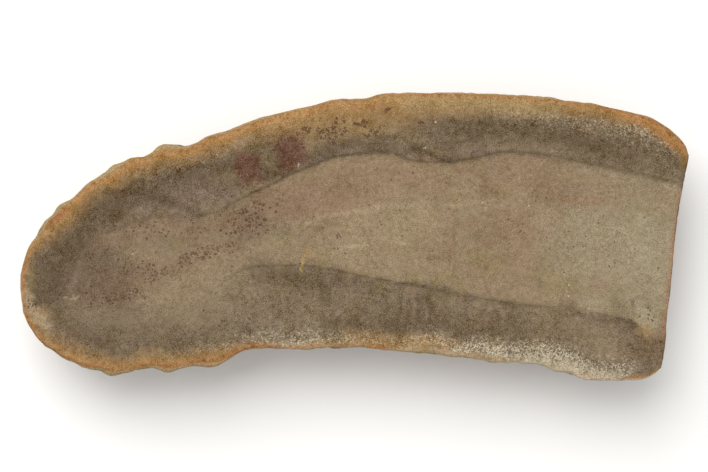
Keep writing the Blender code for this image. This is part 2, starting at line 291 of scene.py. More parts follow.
# The two edges of the body on the split face: pale above, dark below, from the rounded end to the break
BODY_TOP: Course = (
    (-50, -4), (-47.5, -1.5), (-45, 0.2), (-42, 0.8), (-40, 1.3), (-37, 2.3), (-33, 3), (-28, 2.8),
    (-24, 3.1), (-20, 5.4), (-17, 7), (-14, 8.3), (-10, 10.3), (-7, 11.5), (-4, 12.6), (0, 13.3), (3, 13.4),
    (6.5, 13.5), (7.5, 12.8), (9, 12.4), (11, 12.3), (12.5, 12.5), (14.5, 12), (16, 12.3), (19, 12.7),
    (21.5, 13.3), (24, 13.6), (27, 13.6), (30, 13.4), (33, 12.8), (36, 12.2), (42, 11), (48, 9.8), (54, 8.3),
)
BODY_FOOT: Course = (
    (-54, -12.5), (-47, -15), (-40, -16.2), (-33, -16.4), (-28, -15.2), (-23.5, -11.5), (-20.5, -7.5),
    (-18, -5.6), (-15, -5.4), (-12, -5.1), (-7, -4.8), (-4, -5.2), (-1, -5.8), (2, -6.6), (5, -7), (8, -7.6),
    (12, -8), (16, -8.6), (20, -9.6), (25, -10.6), (30, -11.4), (33, -11.8), (35.5, -11.9), (37.5, -12.3),
    (40, -12.6), (43, -13.1), (45.5, -13.8), (47.5, -15.3), (49.5, -17),
)

# Stains of the ground, laid before the rind: around the head, then above, on and below the trunk, with one
# band of painted light over a soft ledge. Each is a course, how far it reaches, its tone and its strength,
# and where it matters its softness and raggedness
GROUND_STROKES = (
    Stroke(((-50, -9), (-48.8, -5), (-46.5, -1), (-43.5, 2.5)), 2.6, Tone.UMBER, 0.8),
    Stroke(((-44, 2), (-40, 4.4), (-36, 6.3), (-32, 6.3)), 1.8, Tone.UMBER, 0.6),
    Stroke(((-35.5, 4.7), (-31, 4.2), (-27, 3.8)), 1.2, Tone.VIOLET, 0.6),
    Stroke(((-29, 8.3), (-25, 7.2), (-21.5, 7)), 2.4, Tone.VIOLET, 0.85),
    Stroke(((-33, 10.3), (-26, 11.4), (-21, 12.6)), 1.6, Tone.HALO, 0.5),
    Stroke(((17, 13.9), (20, 13.9), (22.5, 14.2)), 0.9, Tone.VIOLET, 0.9),
    Stroke(((-7.5, 17), (0, 18), (9.5, 18.4)), 2.6, Tone.KHAKI, 0.9),
    Stroke(((8, 16), (10, 17)), 1.4, Tone.KHAKI, 0.8),
    Stroke(((11, 18.8), (15, 18.2), (18, 19.4)), 2.8, Tone.EARTH, 0.75),
    Stroke(((20, 17.4), (30, 16.6), (40, 15), (51, 12)), 2.6, Tone.HALO, 0.55),
    Stroke(((-40, -5), (-34, -4), (-26, -2.5), (-18, -0.5)), 6, Tone.CLAY, 0.5),
    Stroke(((-45.5, -2), (-41, -5.5), (-44, -10), (-41, -12.5)), 4.4, Tone.EARTH, 0.95),
    Stroke(((-42, -1), (-37, 0.9), (-32, 1.3), (-26, 1), (-20, 2.4)), 1.6, Tone.ROSE, 0.45),
    Stroke(((-49, -9), (-48, -5), (-46, -1.5)), 2.4, Tone.HALO, 0.6, 1),
    Stroke(((-43.5, -4), (-41, -7.5)), 2.6, Tone.HALO, 0.35, 1),
    Stroke(((-43.5, -8.5), (-39, -7.6), (-35, -7)), 3, Tone.COCOA, 0.35),
    Stroke(((-34, -6.6), (-29, -4.8), (-25, -2.8), (-19.5, -1.5)), 1.2, Tone.COCOA, 0.65),
    Stroke(((-30, -9), (-25, -8.3), (-21.5, -4.5)), 4.2, Tone.BUFF, 0.8),
    Stroke(((-19.5, 2.4), (-15.5, 3.8)), 2.6, Tone.COCOA, 0.5),
    Stroke(((-47, -13), (-40, -13.6), (-32, -13.5)), 2.2, Tone.CLAY, 0.6),
    Stroke(((-53.2, -12.9), (-51.8, -13.2)), 1.5, Tone.TAN, 0.9),
    Stroke(((-46.7, -8.4), (-46.2, -7.5)), 0.6, Tone.VIOLET, 0.8),
    Stroke(((-36.5, -2.6), (-33.5, -3.2)), 1.8, Tone.BUFF, 0.5),
    Stroke(((-12, 6), (-4, 9.5), (4, 10.7), (12, 10)), 2.6, Tone.ROSY_BUFF, 0.7),
    Stroke(((2, 1.5), (10, 1.8)), 3.6, Tone.WHEAT, 0.7),
    Stroke(((-16, -1.8), (-8, -2.4), (2, -4.2), (12, -6)), 1.8, Tone.WHEAT, 0.35),
    Stroke(((-8, 3.4), (-2, 5.4), (4, 6.6)), 2.4, Tone.ROSY_BUFF, 0.6),
    Stroke(((21, 10.6), (30, 9.8), (40, 7.6)), 2.8, Tone.ROSE, 0.45, 1),
    Stroke(((34, 6.2), (44, 6.6)), 1.4, Tone.ROSE, 0.4, 1),
    Stroke(((26, -6.5), (29, -2), (24, 0)), 2.6, Tone.ROSE, 0.3, 1),
    Stroke(((40, 9.2), (46, 8), (52, 6)), 2, Tone.BUFF, 0.8),
    Stroke(((25, 2.4), (31, 1.6)), 2.6, Tone.ROSY_BUFF, 0.6),
    Stroke(((-14, 6.2), (-8, 5.8), (-2, 6.2)), 2.4, Tone.ROSE, 0.65, 1),
    Stroke(((22, 15), (30, 14.6), (40, 13), (52, 10.4)), 1, Tone.CLAY, 0.6, 1),
    Stroke(((38, -18.3), (42, -19), (45, -19.5)), 1.5, Tone.CLAY, 0.7),
    # Painted light over the soft ledge below the head, with a small rise, which offsets the dark line of
    # shade along it
    Stroke(((-18.5, -6.2), (-20.5, -7.9), (-22.5, -10.2)), 1.1, Tone.BUFF, 0.6, 1, rise=0.2),
    Stroke(((37, -1), (44, -1), (50, -3)), 5.5, Tone.ASH, 0.6),
    Stroke(((49, 1), (50.5, -10)), 2.2, Tone.ASH, 0.6),
    Stroke(((30.5, -8.6), (30.3, -7.4)), 0.45, Tone.EARTH, 0.6),
    Stroke(((45.5, -11.3), (45.6, -10.6)), 0.5, Tone.EARTH, 0.6),
    Stroke(((-20, -12), (-14, -12.6), (-7, -13.2), (-3, -13.8)), 1.8, Tone.CLAY, 0.8),
    Stroke(((-1, -10.6), (4, -10.8), (6, -12.2)), 2, Tone.CLAY, 0.6),
    Stroke(((16, -12.2), (24, -13.6), (31, -14.8)), 1.9, Tone.CLAY, 0.45),
    Stroke(((-5, -14.4), (5, -14.8), (15, -15.2), (23, -15.8)), 0.9, Tone.HALO, 0.6),
    Stroke(((-24, -13), (-20, -9.5), (-17.5, -10.5)), 3, Tone.CLAY, 0.8, 1),
    Stroke(((-16.5, -5.8), (-11, -6.8), (-7, -7.2)), 1.7, Tone.HALO, 0.5),
    Stroke(((-2.5, -6.9), (1.5, -8)), 1.2, Tone.HALO, 0.45, 1),
    Stroke(((36, -15.6), (42.5, -16.6)), 1.9, Tone.CLAY, 0.8),
    Stroke(((30, -13.4), (36.5, -15.6), (43, -18.8)), 1.8, Tone.BUFF, 0.5),
    Stroke(((45.5, -18.8), (49.3, -17.6)), 1.8, Tone.COCOA, 0.35),
    Stroke(((51, -13.5), (50.3, -19.5)), 1, Tone.COCOA, 0.4),
    # Thin dark bars below the trunk, with paler clay between them
    *(Stroke(((x, -9.3 - 0.1 * x), (x + 0.5, -11.5), (x, -13.8)), 0.35, Tone.HALO, 0.7, 0.7)
      for x in (4.9, 7.4, 8.9, 10.4, 12.1)),
    *(Stroke(((x, -10 - 0.1 * x), (x + 0.3, -12), (x, -13.4)), 0.3, Tone.CLAY, 0.7, 0.7)
      for x in (6.3, 8.1, 9.7, 11.4)),
    Stroke(((47.3, -15.3), (48.7, -16.1)), 0.8, Tone.TAN, 0.7),
    Stroke(((44.5, -22), (49, -21.6)), 1, Tone.SLATE, 0.7),
)

# How far outside the body's upper edge a band of painted light runs, which lifts the dark line of shade
# along its ledge
PAINTED_LIGHT_OUT = 0.45

# Marks that lie on the ground and the rind alike, with some painted light and shade along edges and ledges
SURFACE_STROKES = (
    Stroke(((-9, 12.2), (-6, 13.3), (-2, 14.4), (2, 14.7), (6, 14.8), (9, 13.7)), 0.9, Tone.EARTH, 0.9),
    Stroke(((-15, 9.4), (-12, 11.4), (-8, 13.4), (-4, 14.9), (0, 15.6), (3.5, 15.8), (7.2, 16.4),
            (10, 14.9), (13, 13.4)), 0.55, Tone.UMBER, 0.5, 1),
    Stroke(((-40.5, 7), (-37, 7.3), (-33.5, 6.9), (-31.2, 6.4), (-29.6, 5.3), (-28, 4.5), (-25.5, 3.9)), 0.5,
           Tone.UMBER, 0.65, 0.9, rise=-0.1),
    Stroke(((-41.5, 0.5), (-39.5, 1.2), (-37, 2.2), (-34, 2.8)), 0.35, Tone.HALO, 0.5, 0.9, 0.3),
    Stroke(((-54.2, -9.4), (-53.6, -11.4), (-52.4, -13.2), (-50.5, -14.6)), 0.8, Tone.CREAM, 0.6),
    Stroke(((8, 22.2), (20, 21.6), (33, 20.8)), 1.4, Tone.PALE_OCHRE, 0.5, 1),
    Stroke(((43.5, 20.6), (46.5, 19.4), (50, 17.6), (53.3, 14.6)), 0.9, Tone.AMBER, 0.55, 0.6),
    Stroke(((-31, 13.3), (-27, 14.2), (-23, 15.5)), 0.8, Tone.TAWNY, 0.6, 1),
    Stroke(((-1, -16), (6, -16.6), (13, -17.2), (17, -17.8)), 0.7, Tone.TAWNY, 0.55, 1),
    # Painted light along the near edge, which offsets the shade where the rim slopes away from the lamp
    Stroke(((-13, -18.2), (-2, -18.1), (8, -18.8), (13, -19.1), (22, -20), (29, -20.6)), 0.55,
           Tone.CREAM, 0.95, 0.9),
    Stroke(((29, -20.6), (34, -21.6), (38, -22.6), (43, -23)), 0.8, Tone.BONE, 0.6, 0.9),
    Stroke(((-7, 22), (-2.5, 22.9), (4, 23)), 0.9, Tone.TAWNY, 0.5, 0.9),
    Stroke(((-53, -17), (-50.5, -19.6), (-47, -21.6)), 1.2, Tone.TAWNY, 0.7, 0.9),
    Stroke(((-0.5, 21.2), (3.5, 21.5)), 0.35, Tone.BRICK, 0.4, 0.9),
    Stroke(((-14, 9.8), (-11, 11.2), (-6, 13.3), (-2, 14.4), (2, 14.8), (6, 14.9)), 0.7,
           Tone.HALO, 0.5, 0.8),
    # Painted light: a paler band just outside the body's upper edge that offsets the shade of its ledge
    *(Stroke(tuple((x, y + PAINTED_LIGHT_OUT) for x, y in BODY_TOP if start < x < end), 0.3, Tone.BUFF, strength, 0.9)
      for start, end, strength in ((-25, 7, 0.4), (24, 55, 0.5))),
    Stroke(((2.5, -18.2), (5.3, -18.3)), 0.4, Tone.AMBER, 0.9, 0.5, 0.3),
    Stroke(((-17.4, 10.4), (-17.4, 11.5)), 2.05, Tone.MAROON, 0.7, 0.35, 0.9, -0.05),
    Stroke(((-10.7, 13.6), (-10.5, 14.4)), 2.5, Tone.MAROON, 0.7, 0.35, 0.9, -0.05),
    # Painted shade of the small step at the body's upper edge, which also sinks it a little
    Stroke(((9.5, 14.6), (11.5, 14), (13, 13.2), (14.5, 12.4)), 0.3, Tone.UMBER, 0.8, 0.8, 0.2, -0.1),
    Stroke(((-8, 2), (-5, 3.2), (0, 4), (5, 4.8), (10, 5.2)), 0.4, Tone.CREAM, 0.5, 0.9, 0.2, 0.05),
    Stroke(((10, 5.2), (17, 5.3), (25, 5)), 0.3, Tone.CREAM, 0.35, 1, 0.2, 0.03),
    Stroke(((-2.2, -1.8), (0, -1.6), (3, -1.3)), 0.25, Tone.CREAM, 0.9, 1, 0.2, 0.03),
    Stroke(((6, -0.9), (8, -1)), 0.22, Tone.CREAM, 0.8, 1, 0.2),
    Stroke(((-47.6, -10), (-46.6, -10.3), (-45.4, -10)), 0.14, Tone.CREAM, 0.8, 1, 0.3),
    Stroke(((-46.2, -9.7), (-45.6, -10.7)), 0.12, Tone.CREAM, 0.7, 1, 0.3),
    Stroke(((1, 2), (2, 0), (2.6, -1.5)), 0.14, Tone.COCOA, 0.6, 1, 0.1),
    Stroke(((34, 6), (39, 5.6), (41, 5.6)), 0.2, Tone.BRICK, 0.35, 1, 0.2),
    Stroke(((-8, -2.6), (-7.4, -3.1), (-7.1, -3.8)), 0.5, Tone.OCHRE, 0.5, 0.8, 0.9),
    Stroke(((-8.1, -3.4), (-8.5, -4.4), (-8.6, -5), (-8.8, -5.7)), 0.2, Tone.SULPHUR, 0.8, 0.8, 0.3),
    Stroke(((37, -23), (39.2, -23.1)), 0.7, Tone.RUST, 0.5, 0.8),
    Stroke(((-49.8, 2.6), (-48, 4.2)), 0.5, Tone.RUST, 0.5, 0.8),
    Stroke(((-54.9, -8), (-54.6, -4.5), (-53.8, -2.2)), 0.35, Tone.BRICK, 0.5, 0.8),
    Stroke(((53.7, 6.5), (52.7, 0), (51.7, -8), (51, -16)), 0.4, Tone.BRICK, 0.5, 0.9, 0.3),
)

# Dark specks, thickest where the remains of the animal are
SPECKS = (
    Specks(((-9, 17.2), (-7.5, 17.9)), 0.9, 12, 0.15, 0.32),
    Specks(((-4.4, 16.2), (-2.2, 18.2)), 1.4, 36, 0.15, 0.32),
    Specks(((-5.8, 17.8), (-5.2, 16.6)), 0.7, 8, 0.15, 0.3),
    Specks(((0.2, 18.4), (2.2, 18.6)), 0.7, 14, 0.15, 0.36),
    Specks(((1.6, 16.9), (4.2, 17.3)), 0.6, 12, 0.15, 0.3),
    Specks(((5.1, 20.3), (5.4, 21)), 0.35, 5, 0.15, 0.3), Specks(((10.8, 18.6),), 0.3, 4, 0.15, 0.3),
    Specks(((-20.5, 1.6), (-17, 3), (-14.4, 4.6)), 2.1, 50, 0.15, 0.32),
    Specks(((-21, 1.8), (-16.5, 0.5), (-13.6, 1.6)), 1, 16), Specks(((-2.5, 0.1),), 0.45, 7),
    Specks(((-29, -4.6), (-25, -2.8), (-22, -2), (-19.5, -1.4)), 1.1, 90),
    Specks(((-34, -6.6), (-30, -5.6)), 1.1, 42), Specks(((-42, -10.2), (-35, -9.4)), 1.2, 45),
    Specks(((-40, -4), (-33, -5.4), (-36, -8)), 2.2, 30), Specks(((-43.5, -3.2),), 0.9, 8),
    Specks(((-36, 0.4), (-28, 1.8), (-21, 2.6)), 1.7, 36), Specks(((-43, -11), (-44.5, -6.5)), 1.4, 12),
    Specks(((-53.6, -11.3), (-52, -12)), 0.9, 12),
    Specks(((48.5, -11.9), (48.8, -13.6), (47, -13.6)), 0.6, 12),
    Specks(((-17.4, 10.2), (-17.4, 11.6)), 1.9, 60, 0.14, 0.26),
    Specks(((-10.7, 13.5), (-10.5, 14.6)), 2.3, 70, 0.14, 0.26),
    Specks(((-48, -8), (20, 6), (48, 0)), 9, 110, 0.08, 0.16),
)

# Single pale mineral grains, painted brighter than their own tone as the glints of light that they catch
GLINT_FLECKS = (
    Specks(((21.1, 5.6),), 0, 1, 0.12, 0.14), Specks(((28.7, 5.1),), 0, 1, 0.11, 0.13),
    Specks(((13.3, 18.8),), 0, 1, 0.12, 0.14), Specks(((35.2, -9.8),), 0, 1, 0.1, 0.12),
    Specks(((38.5, -11.8),), 0.15, 2, 0.08, 0.11), Specks(((35.3, -8),), 0, 1, 0.07, 0.09),
    Specks(((-36.5, -2.9),), 0.15, 2, 0.08, 0.12), Specks(((-9.3, 11.7),), 0.2, 2, 0.08, 0.12),
    Specks(((-18.8, 10),), 0, 1, 0.02, 0.04), Specks(((-17.6, 10.2),), 0, 1, 0, 0.02),
    Specks(((-15.9, 10.2),), 0, 1, 0, 0.02), Specks(((11.5, 14.6),), 0.2, 2, 0.08, 0.11),
)


@dataclass(frozen=True)
class Mottle:
    """Soft patches of a tone on the ground, over the whole split face or only outside the body.

    span is their width in millimetres, shift moves their pattern and full is where it lays all of the tone.
    """

    tone: Tone
    shift: float
    strength: float
    span: float
    full: float
    octaves: int = 2
    only_outside: bool = False

    def cover(self, points: np.ndarray, inside: np.ndarray) -> np.ndarray:
        """Return how far the patches cover points, of which inside says how far they lie in the body."""
        patches = smooth_step(0.0, self.full, waves(points, self.span, self.shift, self.octaves))
        return self.strength * (1 - inside if self.only_outside else 1) * patches


MOTTLES = (
    Mottle(Tone.ROSE, 5, 0.35, 5, 0.9, 3), Mottle(Tone.MOSS, 23, 0.35, 5, 0.9, 3),
    Mottle(Tone.HALO, 41, 0.35, 5, 0.9, 3), Mottle(Tone.ROSE, 91, 0.4, 2.2, 0.6),
    Mottle(Tone.MOSS, 67, 0.4, 2.2, 0.6), Mottle(Tone.CLAY, 13, 0.5, 1.9, 0.45, only_outside=True),
    Mottle(Tone.HALO, 57, 0.5, 1.9, 0.45, only_outside=True),
)

# The body's own colour along the stone, from clay at the head to ash near the break
BODY_TONES = (
    (-46, Tone.EARTH), (-32, Tone.CLAY), (-20, Tone.CLAY), (0, Tone.BUFF), (32, Tone.BUFF), (47, Tone.ASH),
)

# Where the rind of the near edge gives way to the rind of the far edge
MIDDLE_LINE: Course = ((-55, -8), (-20, -1), (55, -2))

# The line of the broken end, each point as its y and its x
BREAK_LINE: Course = ((-22, 50.3), (13.6, 55))


def value_on(course: Course, along: np.ndarray) -> np.ndarray:
    """Return the second value of a course's points where the first is along, blended between them."""
    return np.interp(along, *np.array(course, dtype=float).T)


def body_tone(x: np.ndarray) -> np.ndarray:
    """Work out the body's own colour.

    Args:
        x: N places along the stone in millimetres.

    Returns:
        N x 3 linear colours.
    """
    stops = [stop for stop, _ in BODY_TONES]
    tones = np.array([tone.linear() for _, tone in BODY_TONES])
    return np.stack([np.interp(x, stops, tones[:, channel]) for channel in range(3)], 1)


@dataclass
class FacePainting:
    """The colours and the low relief of the split face, worked out point by point.

    points are N x 3 places and gap is how far each lies in from the crust. Sizes are in millimetres. A
    softness is half the width that an edge fades over, and a throw is how far the grain of the ground moves
    it. Where the halo, the tawny, the ochre and the chalk start and end is counted from the rind's values.

    plan is the points seen from above, and scatter is two swings of the ground's grain at each of them. The
    painting is ground, N x 3 linear colours, rise, N heights, and as N shares coarse, the strength of the
    grain, chalk, the cover of pale grains, and skin and vein, the strength of the rust lines.
    """

    points: np.ndarray
    gap: np.ndarray
    fine_span: float = 0.9
    fine_throw: float = 0.9
    fine_octaves: int = 2
    fine_shifts: tuple[float, float] = (11, 37)
    broad_span: float = 5.0
    broad_throw: float = 1.1
    broad_shifts: tuple[float, float] = (3, 71)
    head_softness: float = 2.2
    trunk_softness: float = 0.45
    top_softness: float = 0.9
    foot_softness: float = 1.2
    above_softness: float = 1.0
    crisp_from: float = -13.0
    crisp_run: float = 8.0
    edge_throw: float = 0.3
    head_throw: float = 0.5
    shade_above: float = 0.6
    rough_outside: float = 0.2
    side_softness: float = 3.0
    rind_throw: float = 0.5
    break_run: float = 2.5
    thick_chalk: float = 0.3
    halo_start: float = 0.9
    halo_rise: float = 1.5
    halo_hold: float = 2.5
    halo_fade: float = 6.0
    halo_strength: float = 0.85
    tawny_run: tuple[float, float] = (0.4, 1.6)
    tawny_strength: float = 0.9
    ochre_from: float = 0.2
    ochre_to: float = 0.75
    ochre_least: float = 0.9
    ochre_strength: float = 0.85
    chalk_start: tuple[float, float] = (-0.6, 0.4)
    chalk_end: tuple[float, float] = (0.4, 1.6)
    halo_coarse: float = 0.12
    tawny_coarse: float = 0.1
    chalk_coarse: float = 0.6
    plan: np.ndarray = field(init=False)
    scatter: np.ndarray = field(init=False)
    ground: np.ndarray = field(init=False)
    rise: np.ndarray = field(init=False)
    coarse: np.ndarray = field(init=False)
    chalk: np.ndarray = field(init=False)
    skin: np.ndarray = field(init=False)
    vein: np.ndarray = field(init=False)

    def __post_init__(self) -> None:
        """Start with bare brown stone, and throw the edges of marks about as its grain does."""
        self.plan = self.points[:, :2]
        self.ground = np.tile(Tone.EARTH.linear(), (len(self.plan), 1))
        self.rise, self.coarse, self.chalk, self.skin, self.vein = np.zeros((5, len(self.plan)))
        fine = [waves(self.points, self.fine_span, shift, self.fine_octaves) for shift in self.fine_shifts]
        broad = [waves(self.points, self.broad_span, shift) for shift in self.broad_shifts]
        self.scatter = np.stack(fine, 1) * self.fine_throw + np.stack(broad, 1) * self.broad_throw

    def paint(self) -> None:
        """Paint the whole split face, from the ground up."""
        inside, above = self.body_cover()
        self.lay(Tone.HALO.linear(), above * self.shade_above)
        self.lay(body_tone(self.plan[:, 0]), inside)
        for mottle in MOTTLES:
            self.lay(mottle.tone.linear(), mottle.cover(self.points, inside))
        self.mark(GROUND_STROKES)
        self.paint_rind()
        self.mark(SURFACE_STROKES)
        self.coarse += self.rough_outside * (1 - inside)

    def lay(self, colour: np.ndarray, cover: np.ndarray) -> None:
        """Lay one linear colour, or N of them, over the ground, 0 for none of it to 1 for all of it."""
        self.ground += (colour - self.ground) * cover[:, None]

    def mark(self, strokes: tuple[Stroke, ...]) -> None:
        """Lay strokes over the ground, one after the other.

        Args:
            strokes: the strokes, the lowest first.
        """
        for stroke in strokes:
            cover = stroke.cover(self.plan, self.scatter)
            self.lay(stroke.tone.linear(), cover * stroke.strength)
            self.rise += stroke.rise * cover

    def body_cover(self) -> tuple[np.ndarray, np.ndarray]:
        """Tell the animal's body from the ground around it.

        Returns:
            How far each point lies in the body, and how far above it rather than below it, from 0 to 1.
        """
        x = self.plan[:, 0] + self.edge_throw * self.scatter[:, 0]
        y = self.plan[:, 1]
        crisp = smooth_step(self.crisp_from - self.crisp_run, self.crisp_from, x)
        blurred = 1 - smooth_step(self.crisp_from, self.crisp_from + self.crisp_run, x)
        softness = self.head_softness + (self.trunk_softness - self.head_softness) * crisp
        at_top = np.minimum(softness, self.top_softness)
        at_foot = softness + self.foot_softness * blurred
        throw = (self.edge_throw + self.head_throw * (1 - crisp)) * self.scatter[:, 1]
        below_top = value_on(BODY_TOP, x) - y + throw
        above_foot = y - value_on(BODY_FOOT, x) + throw
        inside = smooth_step(-at_top, at_top, below_top) * smooth_step(-at_foot, at_foot, above_foot)
        return inside, smooth_step(-self.above_softness, self.above_softness, above_foot - below_top)

    def rind_values(self) -> RindStretch:
        """Blend the rind's values from the stretches of the nearer edge.

        Returns:
            The rind, with N values in each of its fields.
        """
        x, y = self.plan.T
        far = smooth_step(-self.side_softness, self.side_softness, y - value_on(MIDDLE_LINE, x))
        values = []
        for name in (entry.name for entry in fields(RindStretch)):
            near_value, far_value = (
                value_on(tuple((stretch.x, getattr(stretch, name)) for stretch in side), x)
                for side in (NEAR_RIND, FAR_RIND))
            values.append(near_value + (far_value - near_value) * far)
        return RindStretch(*values)

    def paint_rind(self) -> None:
        """Lay the weathered rind over the ground: a dark halo, then ochre that pales towards the edge."""
        rind = self.rind_values()
        way_in = self.gap + self.rind_throw * self.scatter[:, 0]
        start = np.maximum(rind.depth, rind.chalk_to * (rind.chalk > self.thick_chalk)) * self.halo_start
        halo = smooth_step(start, start + self.halo_rise, way_in)
        halo = halo * (1 - smooth_step(start + self.halo_hold, start + self.halo_fade, way_in)) * rind.halo
        self.lay(Tone.HALO.linear(), halo * self.halo_strength)
        low, high = self.tawny_run
        tawny = 1 - smooth_step(rind.depth * low, rind.depth * high, way_in)
        self.lay(Tone.TAWNY.linear(), tawny * self.tawny_strength)
        ochre_end = np.maximum(rind.depth * self.ochre_to, self.ochre_least)
        ochre = 1 - smooth_step(self.ochre_from, ochre_end, way_in)
        self.lay(Tone.OCHRE.linear(), ochre * self.ochre_strength)
        low, high = self.chalk_start
        chalk = smooth_step(rind.chalk_from + low, rind.chalk_from + high, way_in)
        low, high = self.chalk_end
        chalk = chalk * (1 - smooth_step(rind.chalk_from + low, rind.chalk_to + high, way_in))
        before_break = value_on(BREAK_LINE, self.plan[:, 1]) - self.plan[:, 0]
        self.chalk = chalk * rind.chalk * smooth_step(0.0, self.break_run, before_break)
        self.coarse = 1 + self.halo_coarse * halo + self.tawny_coarse * tawny
        self.coarse += self.chalk_coarse * self.chalk
        self.skin, self.vein = rind.skin, rind.vein


@dataclass
class Shell:
    """The frame's solid as one joined mesh, with each face told apart as split face, crust or break.

    Lengths are in millimetres, but for weld in metres. The upright and outward values are parts of a face's
    normal, and a lip is a flat-topped bit of crust that stands out beyond the rim.
    """

    weld: float = 1e-6
    joined_angle: float = math.radians(40)
    joined_shape: float = math.radians(60)
    upright: float = 0.5
    lip_upright: float = 0.8
    lip_height: float = 14.35
    lip_angle: float = math.radians(50)
    break_from: float = 46.0
    break_outward: float = 0.62
    break_sideways: tuple[float, float] = (-0.5, 0.3)
    mesh: bmesh.types.BMesh = field(default_factory=bmesh.new)

    def build(self) -> bmesh.types.BMesh:
        """Copy the node's mesh, join its loose triangles to quads and mark the regions.

        Returns:
            The mesh, in metres, with a material index for each region.
        """
        self.mesh.from_mesh(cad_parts[NODE].data)
        bmesh.ops.remove_doubles(self.mesh, verts=self.mesh.verts, dist=self.weld)
        bmesh.ops.join_triangles(self.mesh, faces=self.mesh.faces, angle_face_threshold=self.joined_angle,
                                 angle_shape_threshold=self.joined_shape)
        self.mesh.normal_update()
        self.mark_crust()
        self.mark_break()
        return self.mesh

    def mark_crust(self) -> None:
        """Mark the steep faces and the lips beyond the rim as crust, and the rest as split face."""
        for face in self.mesh.faces:
            face.material_index = Region.CRUST if face.normal.z < self.upright else Region.SPLIT_FACE
            face.smooth = True
        edge = [face for face in self.mesh.faces if face.material_index == Region.CRUST]
        while edge:
            reached = []
            for face in edge:
                for side in face.edges:
                    reached += [other for other in side.link_faces if self.is_lip(other, side)]
            for face in reached:
                face.material_index = Region.CRUST
            edge = reached

    def is_lip(self, face: bmesh.types.BMFace, side: bmesh.types.BMEdge) -> bool:
        """Return whether an unmarked face next to the crust, across this side, belongs to it too."""
        return (face.material_index == Region.SPLIT_FACE and face.normal.z < self.lip_upright
                and face.calc_center_median().z < self.lip_height * MM
                and side.calc_face_angle(math.pi) < self.lip_angle)

    def mark_break(self) -> None:
        """Mark the crust's faces that look along the stone at its broken end as the break."""
        low, high = self.break_sideways
        for face in self.mesh.faces:
            looks_out = face.normal.x > self.break_outward and low < face.normal.y < high
            at_end = face.calc_center_median().x > self.break_from * MM
            if face.material_index == Region.CRUST and looks_out and at_end:
                face.material_index = Region.BROKEN_END

    def crust_tree(self) -> BVHTree:
        """Gather the crust for searches.

        Returns:
            A search tree of the crust's faces, in millimetres.
        """
        crust = [face for face in self.mesh.faces if face.material_index == Region.CRUST]
        verts = sorted({vert for face in crust for vert in face.verts}, key=lambda vert: vert.index)
        numbers = {vert: number for number, vert in enumerate(verts)}
        faces = [[numbers[vert] for vert in face.verts] for face in crust]
        return BVHTree.FromPolygons([vert.co / MM for vert in verts], faces)


def gaps_in(tree: BVHTree, points: np.ndarray) -> np.ndarray:
    """Return how far points lie in from the crust, in millimetres."""
    return np.array([distance for _, _, _, distance in map(tree.find_nearest, points.tolist())])


def places_in(mesh: bpy.types.Mesh, attribute: str = "co") -> np.ndarray:
    """Read a vector of every vertex.

    Args:
        mesh: the mesh.
        attribute: co for the vertex's place, in metres, or normal.

    Returns:
        N x 3 values.
    """
    values = np.empty(len(mesh.vertices) * 3, np.float32)
    mesh.vertices.foreach_get(attribute, values)
    return values.reshape(-1, 3).astype(float)


def store(mesh: bpy.types.Mesh, name: str, kind: str, domain: str, values: np.ndarray) -> None:
    """Keep values on a mesh under a name that materials read.

    Args:
        mesh: the mesh.
        name: the attribute's name.
        kind: FLOAT, FLOAT_VECTOR or FLOAT_COLOR.
        domain: POINT or FACE.
        values: one row for each vertex or face.
    """
    layer = mesh.attributes.new(name, kind, domain)
    part = {"FLOAT": "value", "FLOAT_VECTOR": "vector", "FLOAT_COLOR": "color"}[kind]
    layer.data.foreach_set(part, values.astype(np.float32).ravel())


def touched(quads: np.ndarray, count: int) -> np.ndarray:
    """Find the vertices that quads use.

    Args:
        quads: the corners of each quad, as N x 4 vertex numbers.
        count: how many vertices the mesh has.

    Returns:
        count values, true for a vertex that is used.
    """
    used = np.zeros(count, bool)
    used[quads.ravel()] = True
    return used


@dataclass(frozen=True)
class Relief:
    """One layer of unevenness: how far it stands out and how wide its swells are, in millimetres.

    The cells of a VORONOI_F1 pattern are scoops with sharp ridges between them, or knobs where height is
    below 0.
    """

    height: float
    span: float
    octaves: int = 1
    basis: str = "PERLIN_ORIGINAL"

    def at(self, points: np.ndarray) -> np.ndarray:
        """Return the height at N x 3 points in millimetres."""
        return self.height * waves(points, self.span, self.span, self.octaves, self.basis)


